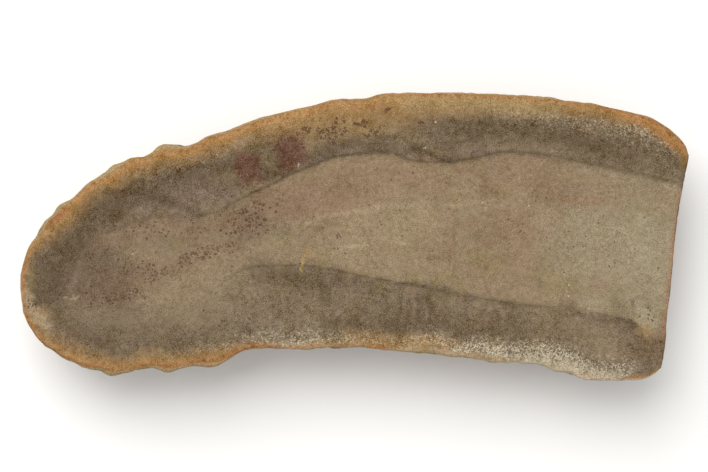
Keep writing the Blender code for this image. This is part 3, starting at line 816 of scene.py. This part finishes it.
@dataclass
class Concretion:
    """The half concretion: a fine mesh over the frame's solid, with its three surfaces dressed.

    Sizes are in millimetres. passes are how often the cage is corrected, so that the smoothed mesh passes
    through the solid's own vertices, each time by largest_correction at most. The relief of the crust and
    the break is rim_share of its full height at the rim, and full from full_relief_below under it.
    """

    name: str = "concretion"
    slot: str = "ironstone"
    subdivisions: int = 2
    passes: int = 3
    largest_correction: float = 0.35
    face_relief: tuple[Relief, ...] = (Relief(0.05, 2.4, 2), Relief(0.035, 0.9))
    rind_relief: tuple[Relief, ...] = (Relief(0.09, 0.9, 2),)
    crust_relief: tuple[Relief, ...] = (
        Relief(0.4, 4.5, 2), Relief(-0.28, 2.6, 1, "VORONOI_F1"), Relief(0.14, 1.2))
    break_relief: tuple[Relief, ...] = (
        Relief(0.6, 6.0, 1, "VORONOI_F1"), Relief(0.3, 2.4, 1, "VORONOI_F1"), Relief(0.1, 1.2))
    rim_wear: Relief = Relief(0.28, 1.1, 2)
    rim_share: float = 0.3
    full_relief_below: float = 2.2
    seed: int = 7

    def build(self) -> bpy.types.Object:
        """Make the fine mesh, carve its relief and paint its split face.

        Returns:
            The stone, in place.
        """
        shell = Shell()
        shell.build()
        crust = shell.crust_tree()
        mesh = self.refined(shell.mesh)
        points = places_in(mesh) / MM
        normals = places_in(mesh, "normal")
        quads, regions = self.quads_in(mesh)
        on = {region: touched(quads[regions == region], len(points)) for region in Region}
        face = on[Region.SPLIT_FACE]
        inner = face | on[Region.BROKEN_END]
        gap = np.zeros(len(points))
        gap[inner] = gaps_in(crust, points[inner])
        painting = FacePainting(points[face], gap[face])
        painting.paint()
        height = self.relief(points, on, painting)
        low, high = (np.array(corner) / MM for corner in CAD_BOX)
        points = np.clip(points + normals * height[:, None], low, high)
        mesh.vertices.foreach_set("co", (points * MM).astype(np.float32).ravel())
        self.keep_paint(mesh, face, painting)
        store(mesh, "rind", "FLOAT", "POINT", gap)
        store(mesh, "relief", "FLOAT", "POINT", height)
        for name, patches in (("speck", SPECKS), ("glint_fleck", GLINT_FLECKS)):
            self.keep_grains(mesh, name, patches, points[quads].mean(axis=1))
        mesh.update()
        stone = bpy.data.objects.new(self.name, mesh)
        bpy.context.scene.collection.objects.link(stone)
        LOG.info("%s: %d vertices, %d quads", self.name, len(points), len(quads))
        return stone

    def refined(self, shell: bmesh.types.BMesh) -> bpy.types.Mesh:
        """Smooth the shell to a fine mesh that passes through its vertices and keeps its borders crisp.

        Args:
            shell: the joined mesh, which is freed.

        Returns:
            The fine mesh, with a material index for each region.
        """
        crease = shell.edges.layers.float.new("crease_edge")
        for edge in shell.edges:
            if len({face.material_index for face in edge.link_faces}) > 1:
                edge[crease] = 1.0
        cage = bpy.data.meshes.new("cage")
        shell.to_mesh(cage)
        shell.free()
        holder = bpy.data.objects.new("cage", cage)
        bpy.context.scene.collection.objects.link(holder)
        smoother = holder.modifiers.new("Smooth", "SUBSURF")
        smoother.levels = smoother.render_levels = self.subdivisions
        wanted = places_in(cage)
        reach = self.largest_correction * MM
        for _ in range(self.passes):
            fine = self.evaluated(holder)
            missed = np.clip(wanted - places_in(fine)[:len(wanted)], -reach, reach)
            cage.vertices.foreach_set("co", (places_in(cage) + missed).astype(np.float32).ravel())
            cage.update()
            bpy.data.meshes.remove(fine)
        fine = self.evaluated(holder)
        fine.name = self.name
        bpy.data.objects.remove(holder, do_unlink=True)
        bpy.data.meshes.remove(cage)
        return fine

    def evaluated(self, holder: bpy.types.Object) -> bpy.types.Mesh:
        """Copy the mesh of an object as its modifiers leave it.

        Args:
            holder: the object.

        Returns:
            The mesh.
        """
        graph = bpy.context.evaluated_depsgraph_get()
        graph.update()
        return bpy.data.meshes.new_from_object(holder.evaluated_get(graph))

    def quads_in(self, mesh: bpy.types.Mesh) -> tuple[np.ndarray, np.ndarray]:
        """Read the faces of a mesh that has only quads.

        Args:
            mesh: the mesh.

        Returns:
            The corners of every quad, as N x 4 vertex numbers, and the region of each.
        """
        corners = np.empty(len(mesh.loops), np.int32)
        mesh.loops.foreach_get("vertex_index", corners)
        regions = np.empty(len(mesh.polygons), np.int32)
        mesh.polygons.foreach_get("material_index", regions)
        return corners.reshape(-1, 4), regions

    def relief(self, points: np.ndarray, on: dict[Region, np.ndarray], painting: FacePainting) -> np.ndarray:
        """Work out how far the fine relief of the three surfaces stands out of the smooth form.

        Args:
            points: N x 3 places in millimetres.
            on: which vertices each region uses.
            painting: the split face's painting, for the relief of its marks and of its rind.

        Returns:
            N heights in millimetres.
        """
        face, crust, broken = (on[region] for region in (Region.SPLIT_FACE, Region.CRUST, Region.BROKEN_END))
        height = np.zeros(len(points))
        rise = sum(layer.at(points[face]) for layer in self.face_relief) + painting.rise
        rough = painting.coarse - 1
        height[face] = rise + rough * sum(layer.at(points[face]) for layer in self.rind_relief)
        below_rim = points[face & crust, 2].mean() - points[:, 2]
        share = self.rim_share + (1 - self.rim_share) * smooth_step(0.0, self.full_relief_below, below_rim)
        for part, layers in ((crust, self.crust_relief), (broken, self.break_relief)):
            height[part] = share[part] * sum(layer.at(points[part]) for layer in layers)
        rim = face & (crust | broken)
        height[rim] = -np.abs(self.rim_wear.at(points[rim]))
        return height

    def keep_paint(self, mesh: bpy.types.Mesh, face: np.ndarray, painting: FacePainting) -> None:
        """Keep the painting's colours and shares on the mesh's vertices.

        Args:
            mesh: the stone's mesh.
            face: which vertices the split face uses.
            painting: the split face's painting.
        """
        ground = np.zeros((len(face), 4))
        ground[face, :3] = painting.ground
        store(mesh, "ground", "FLOAT_COLOR", "POINT", ground)
        for name in ("coarse", "chalk", "skin", "vein"):
            share = np.zeros(len(face))
            share[face] = getattr(painting, name)
            store(mesh, name, "FLOAT", "POINT", share)

    def keep_grains(self, mesh: bpy.types.Mesh, name: str, patches: tuple[Specks, ...],
                    middles: np.ndarray) -> None:
        """Keep on every face the place and the radius of the grain nearest to it, in metres.

        Args:
            mesh: the stone's mesh.
            name: the attribute's name.
            patches: the scatters of grains.
            middles: the middle of each face in millimetres.
        """
        rng = np.random.default_rng(self.seed)
        grains = np.vstack([patch.places(rng) for patch in patches])
        tree = kdtree.KDTree(len(grains))
        for number, (x, y, _) in enumerate(grains):
            tree.insert((x, y, 0.0), number)
        tree.balance()
        nearest = [tree.find((x, y, 0.0))[1] for x, y, _ in middles.tolist()]
        store(mesh, name, "FLOAT_VECTOR", "FACE", grains[nearest] * MM)

    def dress(self, stone: bpy.types.Object) -> None:
        """Give the stone its three finishes and its place in the frame.

        Args:
            stone: the stone.
        """
        for finish in (SplitFaceFinish(), CrustFinish(), BrokenEndFinish()):
            stone.data.materials.append(finish.material())
        stone.data.shade_smooth()
        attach(stone, BODY)
        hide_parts(NODE)


# Sockets of the Mix node when it mixes colours, and of its result
MIX_A = 6
MIX_B = 7
MIX_RESULT = 2

# The value that a noise swings about, and where most of its values lie
NOISE_MIDDLE = 0.5
NOISE_RANGE = (0.3, 0.7)

# How much of a grain's swing of light is added as grey, in linear light, as a mineral grain does
GREY_SHARE = 0.1


def new_material(name: str) -> tuple[bpy.types.Material, bpy.types.NodeTree, bpy.types.Node]:
    """Start a material.

    Args:
        name: the material's name.

    Returns:
        The material, its node tree and its surface shader.
    """
    material = bpy.data.materials.new(name)
    material.use_nodes = True
    return material, material.node_tree, material.node_tree.nodes["Principled BSDF"]


@dataclass(frozen=True)
class Coat:
    """A tone laid on a colour by a pattern: none at the pattern's low and strength of it at its high."""

    tone: Tone
    low: float
    high: float
    strength: float = 1.0


@dataclass(frozen=True)
class Pits:
    """Dark pinpoint pits, of which each cell of a pattern holds one or none.

    span is a cell's width in millimetres. The rest is counted in cells: a cell has a pit when its lot from 0
    to 1 is above bare, and the pit's radius grows with the lot up to largest.
    """

    span: float
    strength: float = 0.5
    bare: float = 0.6
    smallest: float = -0.08
    largest: float = 0.14
    outer_edge: float = 0.06
    inner_edge: float = -0.04


@dataclass
class StoneFinish:
    """What the stone's finishes share: noises, painted shade in hollows with wear, pits, grains lighter and
    darker, bump and gloss.

    Each noise is its width in millimetres and its detail. The coats of painted shade and wear follow the
    height of
    the fine relief in millimetres: darker in its hollows as painted shade, and lighter wear on its high
    points. The shader's own IOR of 1.5 suits dull stone. tree is the material's node tree and place its
    coordinates.
    """

    name: str
    noises: tuple[tuple[float, float], ...]
    pits: tuple[Pits, ...]
    roughness: tuple[float, float]
    gloss: float
    bump: float
    bump_height: float
    hollow_shade_and_wear: tuple[Coat, ...] = ()
    noise_roughness: float = 0.5
    tree: bpy.types.NodeTree = field(init=False)
    place: Socket = field(init=False)

    def material(self) -> bpy.types.Material:
        """Make the finish.

        Returns:
            The material.
        """
        material, self.tree, shader = new_material(self.name)
        self.place = self.add_node("TexCoord", "Object")
        noises = [
            self.add_node("TexNoise", "Fac", {
                **self.spread(span), "Detail": detail, "Roughness": self.noise_roughness})
            for span, detail in self.noises]
        colour, form, dulling = self.pattern(*noises)
        bump = self.add_node("Bump", "Normal", {
            "Strength": self.bump, "Distance": self.bump_height * MM, "Height": form})
        (low, high), (glossiest, dullest) = NOISE_RANGE, self.roughness
        roughness = self.add_node("MapRange", "Result", {
            "Value": dulling, "From Min": low, "From Max": high, "To Min": glossiest, "To Max": dullest})
        for socket, value in (("Base Color", colour), ("Normal", bump), ("Roughness", roughness)):
            self.tree.links.new(value, shader.inputs[socket])
        shader.inputs["Specular IOR Level"].default_value = self.gloss
        return material

    def pattern(self, *noises: Socket) -> tuple[Socket, Socket, Socket]:
        """Work out the pattern, each finish in its own way.

        Args:
            noises: one value for each of the finish's noises.

        Returns:
            The colour, the height that the bump follows and the noise that the roughness follows.
        """
        raise NotImplementedError

    def add_node(self, kind: str, output: str | int, inputs: dict[str | int, Any] | None = None,
                 **settings: Any) -> Socket:
        """Add a node with its settings and links.

        Args:
            kind: the node's type, without the ShaderNode that it starts with.
            output: which of its outputs to return.
            inputs: for each socket, a value or another node's output.
            settings: the node's own settings.

        Returns:
            The output.
        """
        node = self.tree.nodes.new("ShaderNode" + kind)
        for name, value in settings.items():
            setattr(node, name, value)
        for socket, value in (inputs or {}).items():
            if isinstance(value, Socket):
                self.tree.links.new(value, node.inputs[socket])
            else:
                node.inputs[socket].default_value = value
        return node.outputs[output]

    def spread(self, span: float) -> dict[str, Any]:
        """Return the inputs of a pattern whose features are this many millimetres wide."""
        return {"Vector": self.place, "Scale": 1 / (span * MM)}

    def coated(self, colour: Any, coat: Coat, pattern: Socket, strength: Socket | None = None,
               unit: float = 1.0) -> Socket:
        """Lay a coat over a colour.

        Args:
            colour: the colour beneath.
            coat: the coat.
            pattern: the value that says where it lies.
            strength: how much of it lies at the pattern's high, where that differs from place to place.
            unit: what the coat's low and high are counted in.

        Returns:
            The new colour.
        """
        cover = self.add_node("MapRange", "Result", {
            "Value": pattern, "From Min": coat.low * unit, "From Max": coat.high * unit,
            "To Max": coat.strength if strength is None else strength}, interpolation_type="SMOOTHSTEP")
        return self.add_node("Mix", MIX_RESULT, {0: cover, MIX_A: colour, MIX_B: rgba(coat.tone)},
                             data_type="RGBA")

    def pitted(self, colour: Socket, pits: Pits) -> Socket:
        """Scatter pits over a colour.

        Args:
            colour: the colour beneath.
            pits: the pits.

        Returns:
            The new colour.
        """
        away = self.add_node("TexVoronoi", "Distance", self.spread(pits.span))
        lot = self.add_node("SeparateColor", "Green", {"Color": away.node.outputs["Color"]})
        radius = self.add_node("MapRange", "Result", {
            "Value": lot, "From Min": pits.bare, "To Min": pits.smallest, "To Max": pits.largest})
        past = self.add_node("Math", 0, {0: away, 1: radius}, operation="SUBTRACT")
        return self.coated(colour, Coat(Tone.UMBER, pits.outer_edge, pits.inner_edge, pits.strength), past)

    def aged(self, colour: Socket, swing: Socket) -> Socket:
        """Lay painted shade in the hollows and lighter wear on the high points, pit a colour, and make it
        lighter or darker from grain to grain.

        Args:
            colour: the colour beneath.
            swing: how much lighter the stone is than its colour, about 0.

        Returns:
            The new colour.
        """
        # Painted shade where the relief sinks, and lighter wear where it stands out
        for coat in self.hollow_shade_and_wear:
            colour = self.coated(colour, coat, self.add_node("Attribute", "Fac", attribute_name="relief"))
        for pits in self.pits:
            colour = self.pitted(colour, pits)
        light = self.add_node("Math", 0, {0: swing, 1: 1.0}, operation="ADD")
        tinted = self.add_node("VectorMath", 0, {0: colour, "Scale": light}, operation="SCALE")
        lift = self.add_node("Math", 0, {0: swing, 1: GREY_SHARE}, operation="MULTIPLY")
        return self.add_node("VectorMath", 0, {0: tinted, 1: lift}, operation="ADD")

    def thrown(self, noise_value: Socket, throw: float, base: Any = 0.0) -> Socket:
        """Return a base value thrown up and down by a noise, which swings about 0 for that."""
        swing = self.add_node("Math", 0, {0: noise_value, 1: NOISE_MIDDLE}, operation="SUBTRACT")
        return self.add_node("Math", 0, {0: swing, 1: throw, 2: base}, operation="MULTIPLY_ADD")


@dataclass
class SplitFaceFinish(StoneFinish):
    """Siderite ironstone as it splits: dry, matt and finely sandy, with chalky grains along the rind.

    The real silt grain is about 0.05 mm and is drawn three times as coarse, so that it shows as the fine
    salt and pepper of the stone. The eye reads the chalk grains as a sugary edge and the rust lines as
    weathering that has crept in from outside. Sizes are in millimetres.
    """

    name: str = "ironstone_split_dry"
    noises: tuple[tuple[float, float], ...] = ((0.17, 1.0), (0.8, 2.0), (3.2, 1.0))
    swings: tuple[float, ...] = (1.0, 0.45, 0.25)
    pits: tuple[Pits, ...] = (Pits(1.3),)
    chalk: Coat = Coat(Tone.BONE, -0.3, 0.3, 0.85)
    chalk_grain: float = 0.2
    chalk_clump: float = 1.1
    chalk_clumping: float = 0.8
    chalk_filling: float = 1.1
    chalk_bar: float = 1.5
    chalk_full_share: float = 0.5
    skin: Coat = Coat(Tone.RUST, 0.8, 0.15)
    vein: Coat = Coat(Tone.AMBER, 0.26, 0.08)
    vein_in: float = 1.05
    line_throw: float = 1.6
    specks: Coat = Coat(Tone.PLUM, 0.09, -0.09, 0.75)
    # Painted glints on the pale mineral grains
    glint_flecks: Coat = Coat(Tone.CHALK, 0.09, -0.09, 0.6)
    speck_throw: float = 0.5
    roughness: tuple[float, float] = (0.78, 0.92)
    gloss: float = 0.12
    bump: float = 0.4
    bump_height: float = 0.05

    def pattern(self, *noises: Socket) -> tuple[Socket, Socket, Socket]:
        """Lay the rust lines, the chalk, the grain and the specks over the painted ground.

        Args:
            noises: the fine grain, the mottle and the broad swell.

        Returns:
            The colour, the height that the bump follows and the noise that the roughness follows.
        """
        fine, mottle, _ = noises
        coarse, share = (
            self.add_node("Attribute", "Fac", attribute_name=name) for name in ("coarse", "chalk"))
        chalk = self.chalk_pattern(share)
        cover = self.add_node("MapRange", "Result", {
            "Value": share, "From Max": self.chalk_full_share, "To Max": self.chalk.strength})
        colour = self.coated(self.lined(mottle), self.chalk, chalk, cover)
        swing: Any = 0.0
        for noise_value, strength in zip(noises, self.swings):
            swing = self.thrown(noise_value, strength, swing)
        swing = self.add_node("Math", 0, {0: swing, 1: coarse}, operation="MULTIPLY")
        colour = self.aged(colour, swing)
        for name, coat in (("speck", self.specks), ("glint_fleck", self.glint_flecks)):
            colour = self.coated(colour, coat, self.past_grain(name, fine), unit=MM)
        form = self.add_node("Math", 0, {0: chalk, 1: swing}, operation="ADD", use_clamp=True)
        return colour, form, mottle

    def lined(self, mottle: Socket) -> Socket:
        """Lay the rusty edge and the rust line inside it over the ground, both a little unsteady.

        Args:
            mottle: the noise that makes them unsteady.

        Returns:
            The colour.
        """
        ground = self.add_node("Attribute", "Color", attribute_name="ground")
        rind, skin, vein = (
            self.add_node("Attribute", "Fac", attribute_name=name) for name in ("rind", "skin", "vein"))
        way_in = self.thrown(mottle, self.line_throw, rind)
        past = self.add_node("Math", 0, {0: way_in, 1: self.vein_in}, operation="SUBTRACT")
        away = self.add_node("Math", 0, {0: past}, operation="ABSOLUTE")
        return self.coated(self.coated(ground, self.skin, way_in, skin), self.vein, away, vein)

    def chalk_pattern(self, share: Socket) -> Socket:
        """Make the pale grains, which lie in clumps.

        Args:
            share: the share of the surface that they take up.

        Returns:
            A value above 0 in the grains.
        """
        cells = self.add_node("TexVoronoi", "Color", self.spread(self.chalk_grain))
        total = self.add_node("SeparateColor", "Red", {"Color": cells})
        clump = self.add_node("TexNoise", "Fac", self.spread(self.chalk_clump))
        for value, weight in ((clump, self.chalk_clumping), (share, self.chalk_filling)):
            total = self.add_node("Math", 0, {0: value, 1: weight, 2: total}, operation="MULTIPLY_ADD")
        return self.add_node("Math", 0, {0: total, 1: self.chalk_bar}, operation="SUBTRACT")

    def past_grain(self, name: str, fine: Socket) -> Socket:
        """Work out how far each point lies outside the grain that its face keeps.

        Args:
            name: the attribute that keeps the grain's place and radius.
            fine: the noise that makes its edge ragged.

        Returns:
            The distance in metres, below 0 inside the grain.
        """
        grain = self.add_node("Attribute", "Vector", attribute_name=name)
        centre, flat = (
            self.add_node("VectorMath", 0, {0: spot, 1: (1.0, 1.0, 0.0)}, operation="MULTIPLY")
            for spot in (grain, self.place))
        away = self.add_node("VectorMath", "Value", {0: flat, 1: centre}, operation="DISTANCE")
        radius = self.add_node("SeparateXYZ", "Z", {"Vector": grain})
        past = self.add_node("Math", 0, {0: away, 1: radius}, operation="SUBTRACT")
        return self.thrown(fine, self.speck_throw * MM, past)


@dataclass
class CrustFinish(StoneFinish):
    """Weathered siderite crust: limonite rust and ochre over brown, rough, dull and a little dusty.

    The eye reads the tones as rust of several ages, and the pale coats near the rim as powder and dried
    clay. The rim's coat follows the height of a point, and the dust its way along dust_way, in millimetres.
    """

    name: str = "ironstone_weathered_crust"
    noises: tuple[tuple[float, float], ...] = ((11.0, 6.0), (3.0, 5.0), (0.9, 3.0), (0.3, 1.0))
    noise_roughness: float = 0.65
    patches: Coat = Coat(Tone.TAWNY, 0.36, 0.58)
    speckles: Coat = Coat(Tone.OCHRE, 0.42, 0.62, 0.7)
    films: Coat = Coat(Tone.RUST, 0.46, 0.66, 0.6)
    rim: Coat = Coat(Tone.STRAW, 11.5, 14.5, 0.75)
    rim_throw: float = 9.0
    dust: Coat = Coat(Tone.BONE, 36, 50, 0.8)
    dust_way: tuple[float, float, float] = (1.0, -1.0, 0.0)
    # Painted shade in the relief's hollows, and paler wear on its high points
    hollow_shade_and_wear: tuple[Coat, ...] = (Coat(Tone.UMBER, 0, -0.35, 0.65), Coat(Tone.TAN, 0.05, 0.35, 0.6))
    pits: tuple[Pits, ...] = (Pits(1.4, 0.8), Pits(3.1, 0.8))
    grain_height: float = 0.5
    roughness: tuple[float, float] = (0.85, 0.97)
    gloss: float = 0.12
    bump: float = 0.9
    bump_height: float = 0.12

    def pattern(self, *noises: Socket) -> tuple[Socket, Socket, Socket]:
        """Lay the rusty tones over brown, then the pale coats near the rim.

        Args:
            noises: the patches, the films, the speckles and the grain.

        Returns:
            The colour, the height that the bump follows and the noise that the roughness follows.
        """
        patch, film, speckle, grain = noises
        colour: Any = rgba(Tone.EARTH)
        for coat, noise_value in ((self.patches, patch), (self.speckles, speckle), (self.films, film)):
            colour = self.coated(colour, coat, noise_value)
        height = self.add_node("SeparateXYZ", "Z", {"Vector": self.place})
        near_rim = self.thrown(film, self.rim_throw * MM, height)
        colour = self.coated(colour, self.rim, near_rim, unit=MM)
        dustiness = self.add_node("MapRange", "Result", {
            "Value": near_rim, "From Min": self.rim.low * MM, "From Max": self.rim.high * MM,
            "To Max": self.dust.strength})
        along = self.add_node("VectorMath", "Value", {0: self.place, 1: self.dust_way},
                              operation="DOT_PRODUCT")
        colour = self.coated(colour, self.dust, along, dustiness, MM)
        form = self.add_node("Math", 0, {0: grain, 1: self.grain_height, 2: speckle},
                             operation="MULTIPLY_ADD")
        return self.aged(colour, self.thrown(grain, 1.0)), form, film


@dataclass
class BrokenEndFinish(StoneFinish):
    """Siderite ironstone broken across: grey-brown and hackly inside, with the ochre rind in section.

    The eye reads the rind's coats as rings of weathering. They are counted in millimetres in from the crust.
    """

    name: str = "ironstone_broken"
    noises: tuple[tuple[float, float], ...] = ((6.0, 4.0), (1.2, 3.0), (0.25, 1.0))
    clouds: Coat = Coat(Tone.CLAY, 0.36, 0.6)
    rings: tuple[Coat, ...] = (
        Coat(Tone.HALO, 6.5, 3.8, 0.8), Coat(Tone.TAWNY, 3.6, 2.4, 0.95), Coat(Tone.OCHRE, 2, 1, 0.8),
        Coat(Tone.RUST, 0.9, 0.3, 0.6))
    ring_throw: float = 3.0
    # Painted shade in the relief's hollows, and paler wear on its high points
    hollow_shade_and_wear: tuple[Coat, ...] = (Coat(Tone.UMBER, 0, -0.5, 0.6), Coat(Tone.BUFF, 0.1, 0.5, 0.5))
    pits: tuple[Pits, ...] = (Pits(1.6, 0.7),)
    mottle_swing: float = 0.6
    grain_height: float = 0.5
    roughness: tuple[float, float] = (0.8, 0.95)
    gloss: float = 0.15
    bump: float = 0.9
    bump_height: float = 0.1

    def pattern(self, *noises: Socket) -> tuple[Socket, Socket, Socket]:
        """Lay the clouds of clay and the rings of the rind over brown.

        Args:
            noises: the clouds, the mottle and the grain.

        Returns:
            The colour, the height that the bump follows and the noise that the roughness follows.
        """
        cloud, mottle, grain = noises
        colour = self.coated(rgba(Tone.EARTH), self.clouds, cloud)
        rind = self.add_node("Attribute", "Fac", attribute_name="rind")
        way_in = self.thrown(mottle, self.ring_throw, rind)
        for coat in self.rings:
            colour = self.coated(colour, coat, way_in)
        swing = self.thrown(mottle, self.mottle_swing, self.thrown(grain, 1.0))
        form = self.add_node("Math", 0, {0: grain, 1: self.grain_height, 2: mottle},
                             operation="MULTIPLY_ADD")
        return self.aged(colour, swing), form, mottle


@dataclass(frozen=True)
class FloorFinish:
    """Matt white studio card of pressed paper: pale and even, so that only the stone's shadow shows."""

    name: str = "studio_card_matt"
    colour: str = "#f1f0ee"
    roughness: float = 0.9
    gloss: float = 0.1

    def material(self) -> bpy.types.Material:
        """Make the finish.

        Returns:
            The material.
        """
        material, _, shader = new_material(self.name)
        shader.inputs["Base Color"].default_value = (*linear(self.colour), 1.0)
        shader.inputs["Roughness"].default_value = self.roughness
        shader.inputs["Specular IOR Level"].default_value = self.gloss
        return material


@dataclass
class Studio:
    """A pale floor, soft light from above and a camera that looks straight down on the split face.

    The floor, the lamp and the camera's clipping are in metres and the rest of the camera in millimetres.
    """

    floor_size: float = 3.0
    frame_width: float = 116.4
    sensor: float = 36.0
    lens: float = 100.0
    clipping: tuple[float, float] = (0.01, 10.0)
    aim: tuple[float, float] = (-0.08, 0.08)
    face_height: float = 14.6
    sky_light: float = 0.7
    lamp_power: float = 3.3
    lamp_size: float = 0.5
    lamp_place: tuple[float, float, float] = (-0.14, 0.3, 0.5)

    def build(self) -> None:
        """Set up the floor, the lights and the camera."""
        self.add_floor()
        self.add_lights()
        self.add_camera()
        LOG.info("studio: floor %.1f m, frame %.1f mm wide", self.floor_size, self.frame_width)

    def add_floor(self) -> None:
        """Lay the floor under the stone."""
        mesh = bmesh.new()
        bmesh.ops.create_grid(mesh, x_segments=1, y_segments=1, size=self.floor_size / 2)
        data = bpy.data.meshes.new("floor")
        mesh.to_mesh(data)
        mesh.free()
        data.materials.append(FloorFinish().material())
        floor = bpy.data.objects.new("floor", data)
        bpy.context.scene.collection.objects.link(floor)

    def add_lights(self) -> None:
        """Light the stone evenly from the whole sky, and a little more from its far side."""
        world = bpy.data.worlds.new("sky")
        world.use_nodes = True
        sky = world.node_tree.nodes["Background"]
        sky.inputs["Color"].default_value = (1.0, 1.0, 1.0, 1.0)
        sky.inputs["Strength"].default_value = self.sky_light
        bpy.context.scene.world = world
        lamp = bpy.data.lights.new("softbox", "AREA")
        lamp.energy = self.lamp_power
        lamp.size = self.lamp_size
        holder = bpy.data.objects.new("softbox", lamp)
        holder.location = self.lamp_place
        holder.rotation_euler = (-Vector(self.lamp_place)).to_track_quat("-Z", "Y").to_euler()
        bpy.context.scene.collection.objects.link(holder)

    def add_camera(self) -> None:
        """Place the camera so that the split face fills the frame as it does in the picture."""
        camera = bpy.data.cameras.new("camera")
        camera.lens = self.lens
        camera.sensor_width = self.sensor
        camera.sensor_fit = "HORIZONTAL"
        camera.clip_start, camera.clip_end = self.clipping
        holder = bpy.data.objects.new("camera", camera)
        height = self.face_height + self.frame_width * self.lens / self.sensor
        holder.location = (self.aim[0] * MM, self.aim[1] * MM, height * MM)
        bpy.context.scene.collection.objects.link(holder)
        bpy.context.scene.camera = holder
        bpy.context.scene.view_settings.view_transform = "Standard"


def main() -> None:
    """Build and dress the stone, then set up the studio around it."""
    logging.basicConfig(level=logging.INFO, format="%(name)s: %(message)s")
    concretion = Concretion()
    stone = concretion.build()
    concretion.dress(stone)
    Studio().build()


if __name__ == "__main__":
    main()
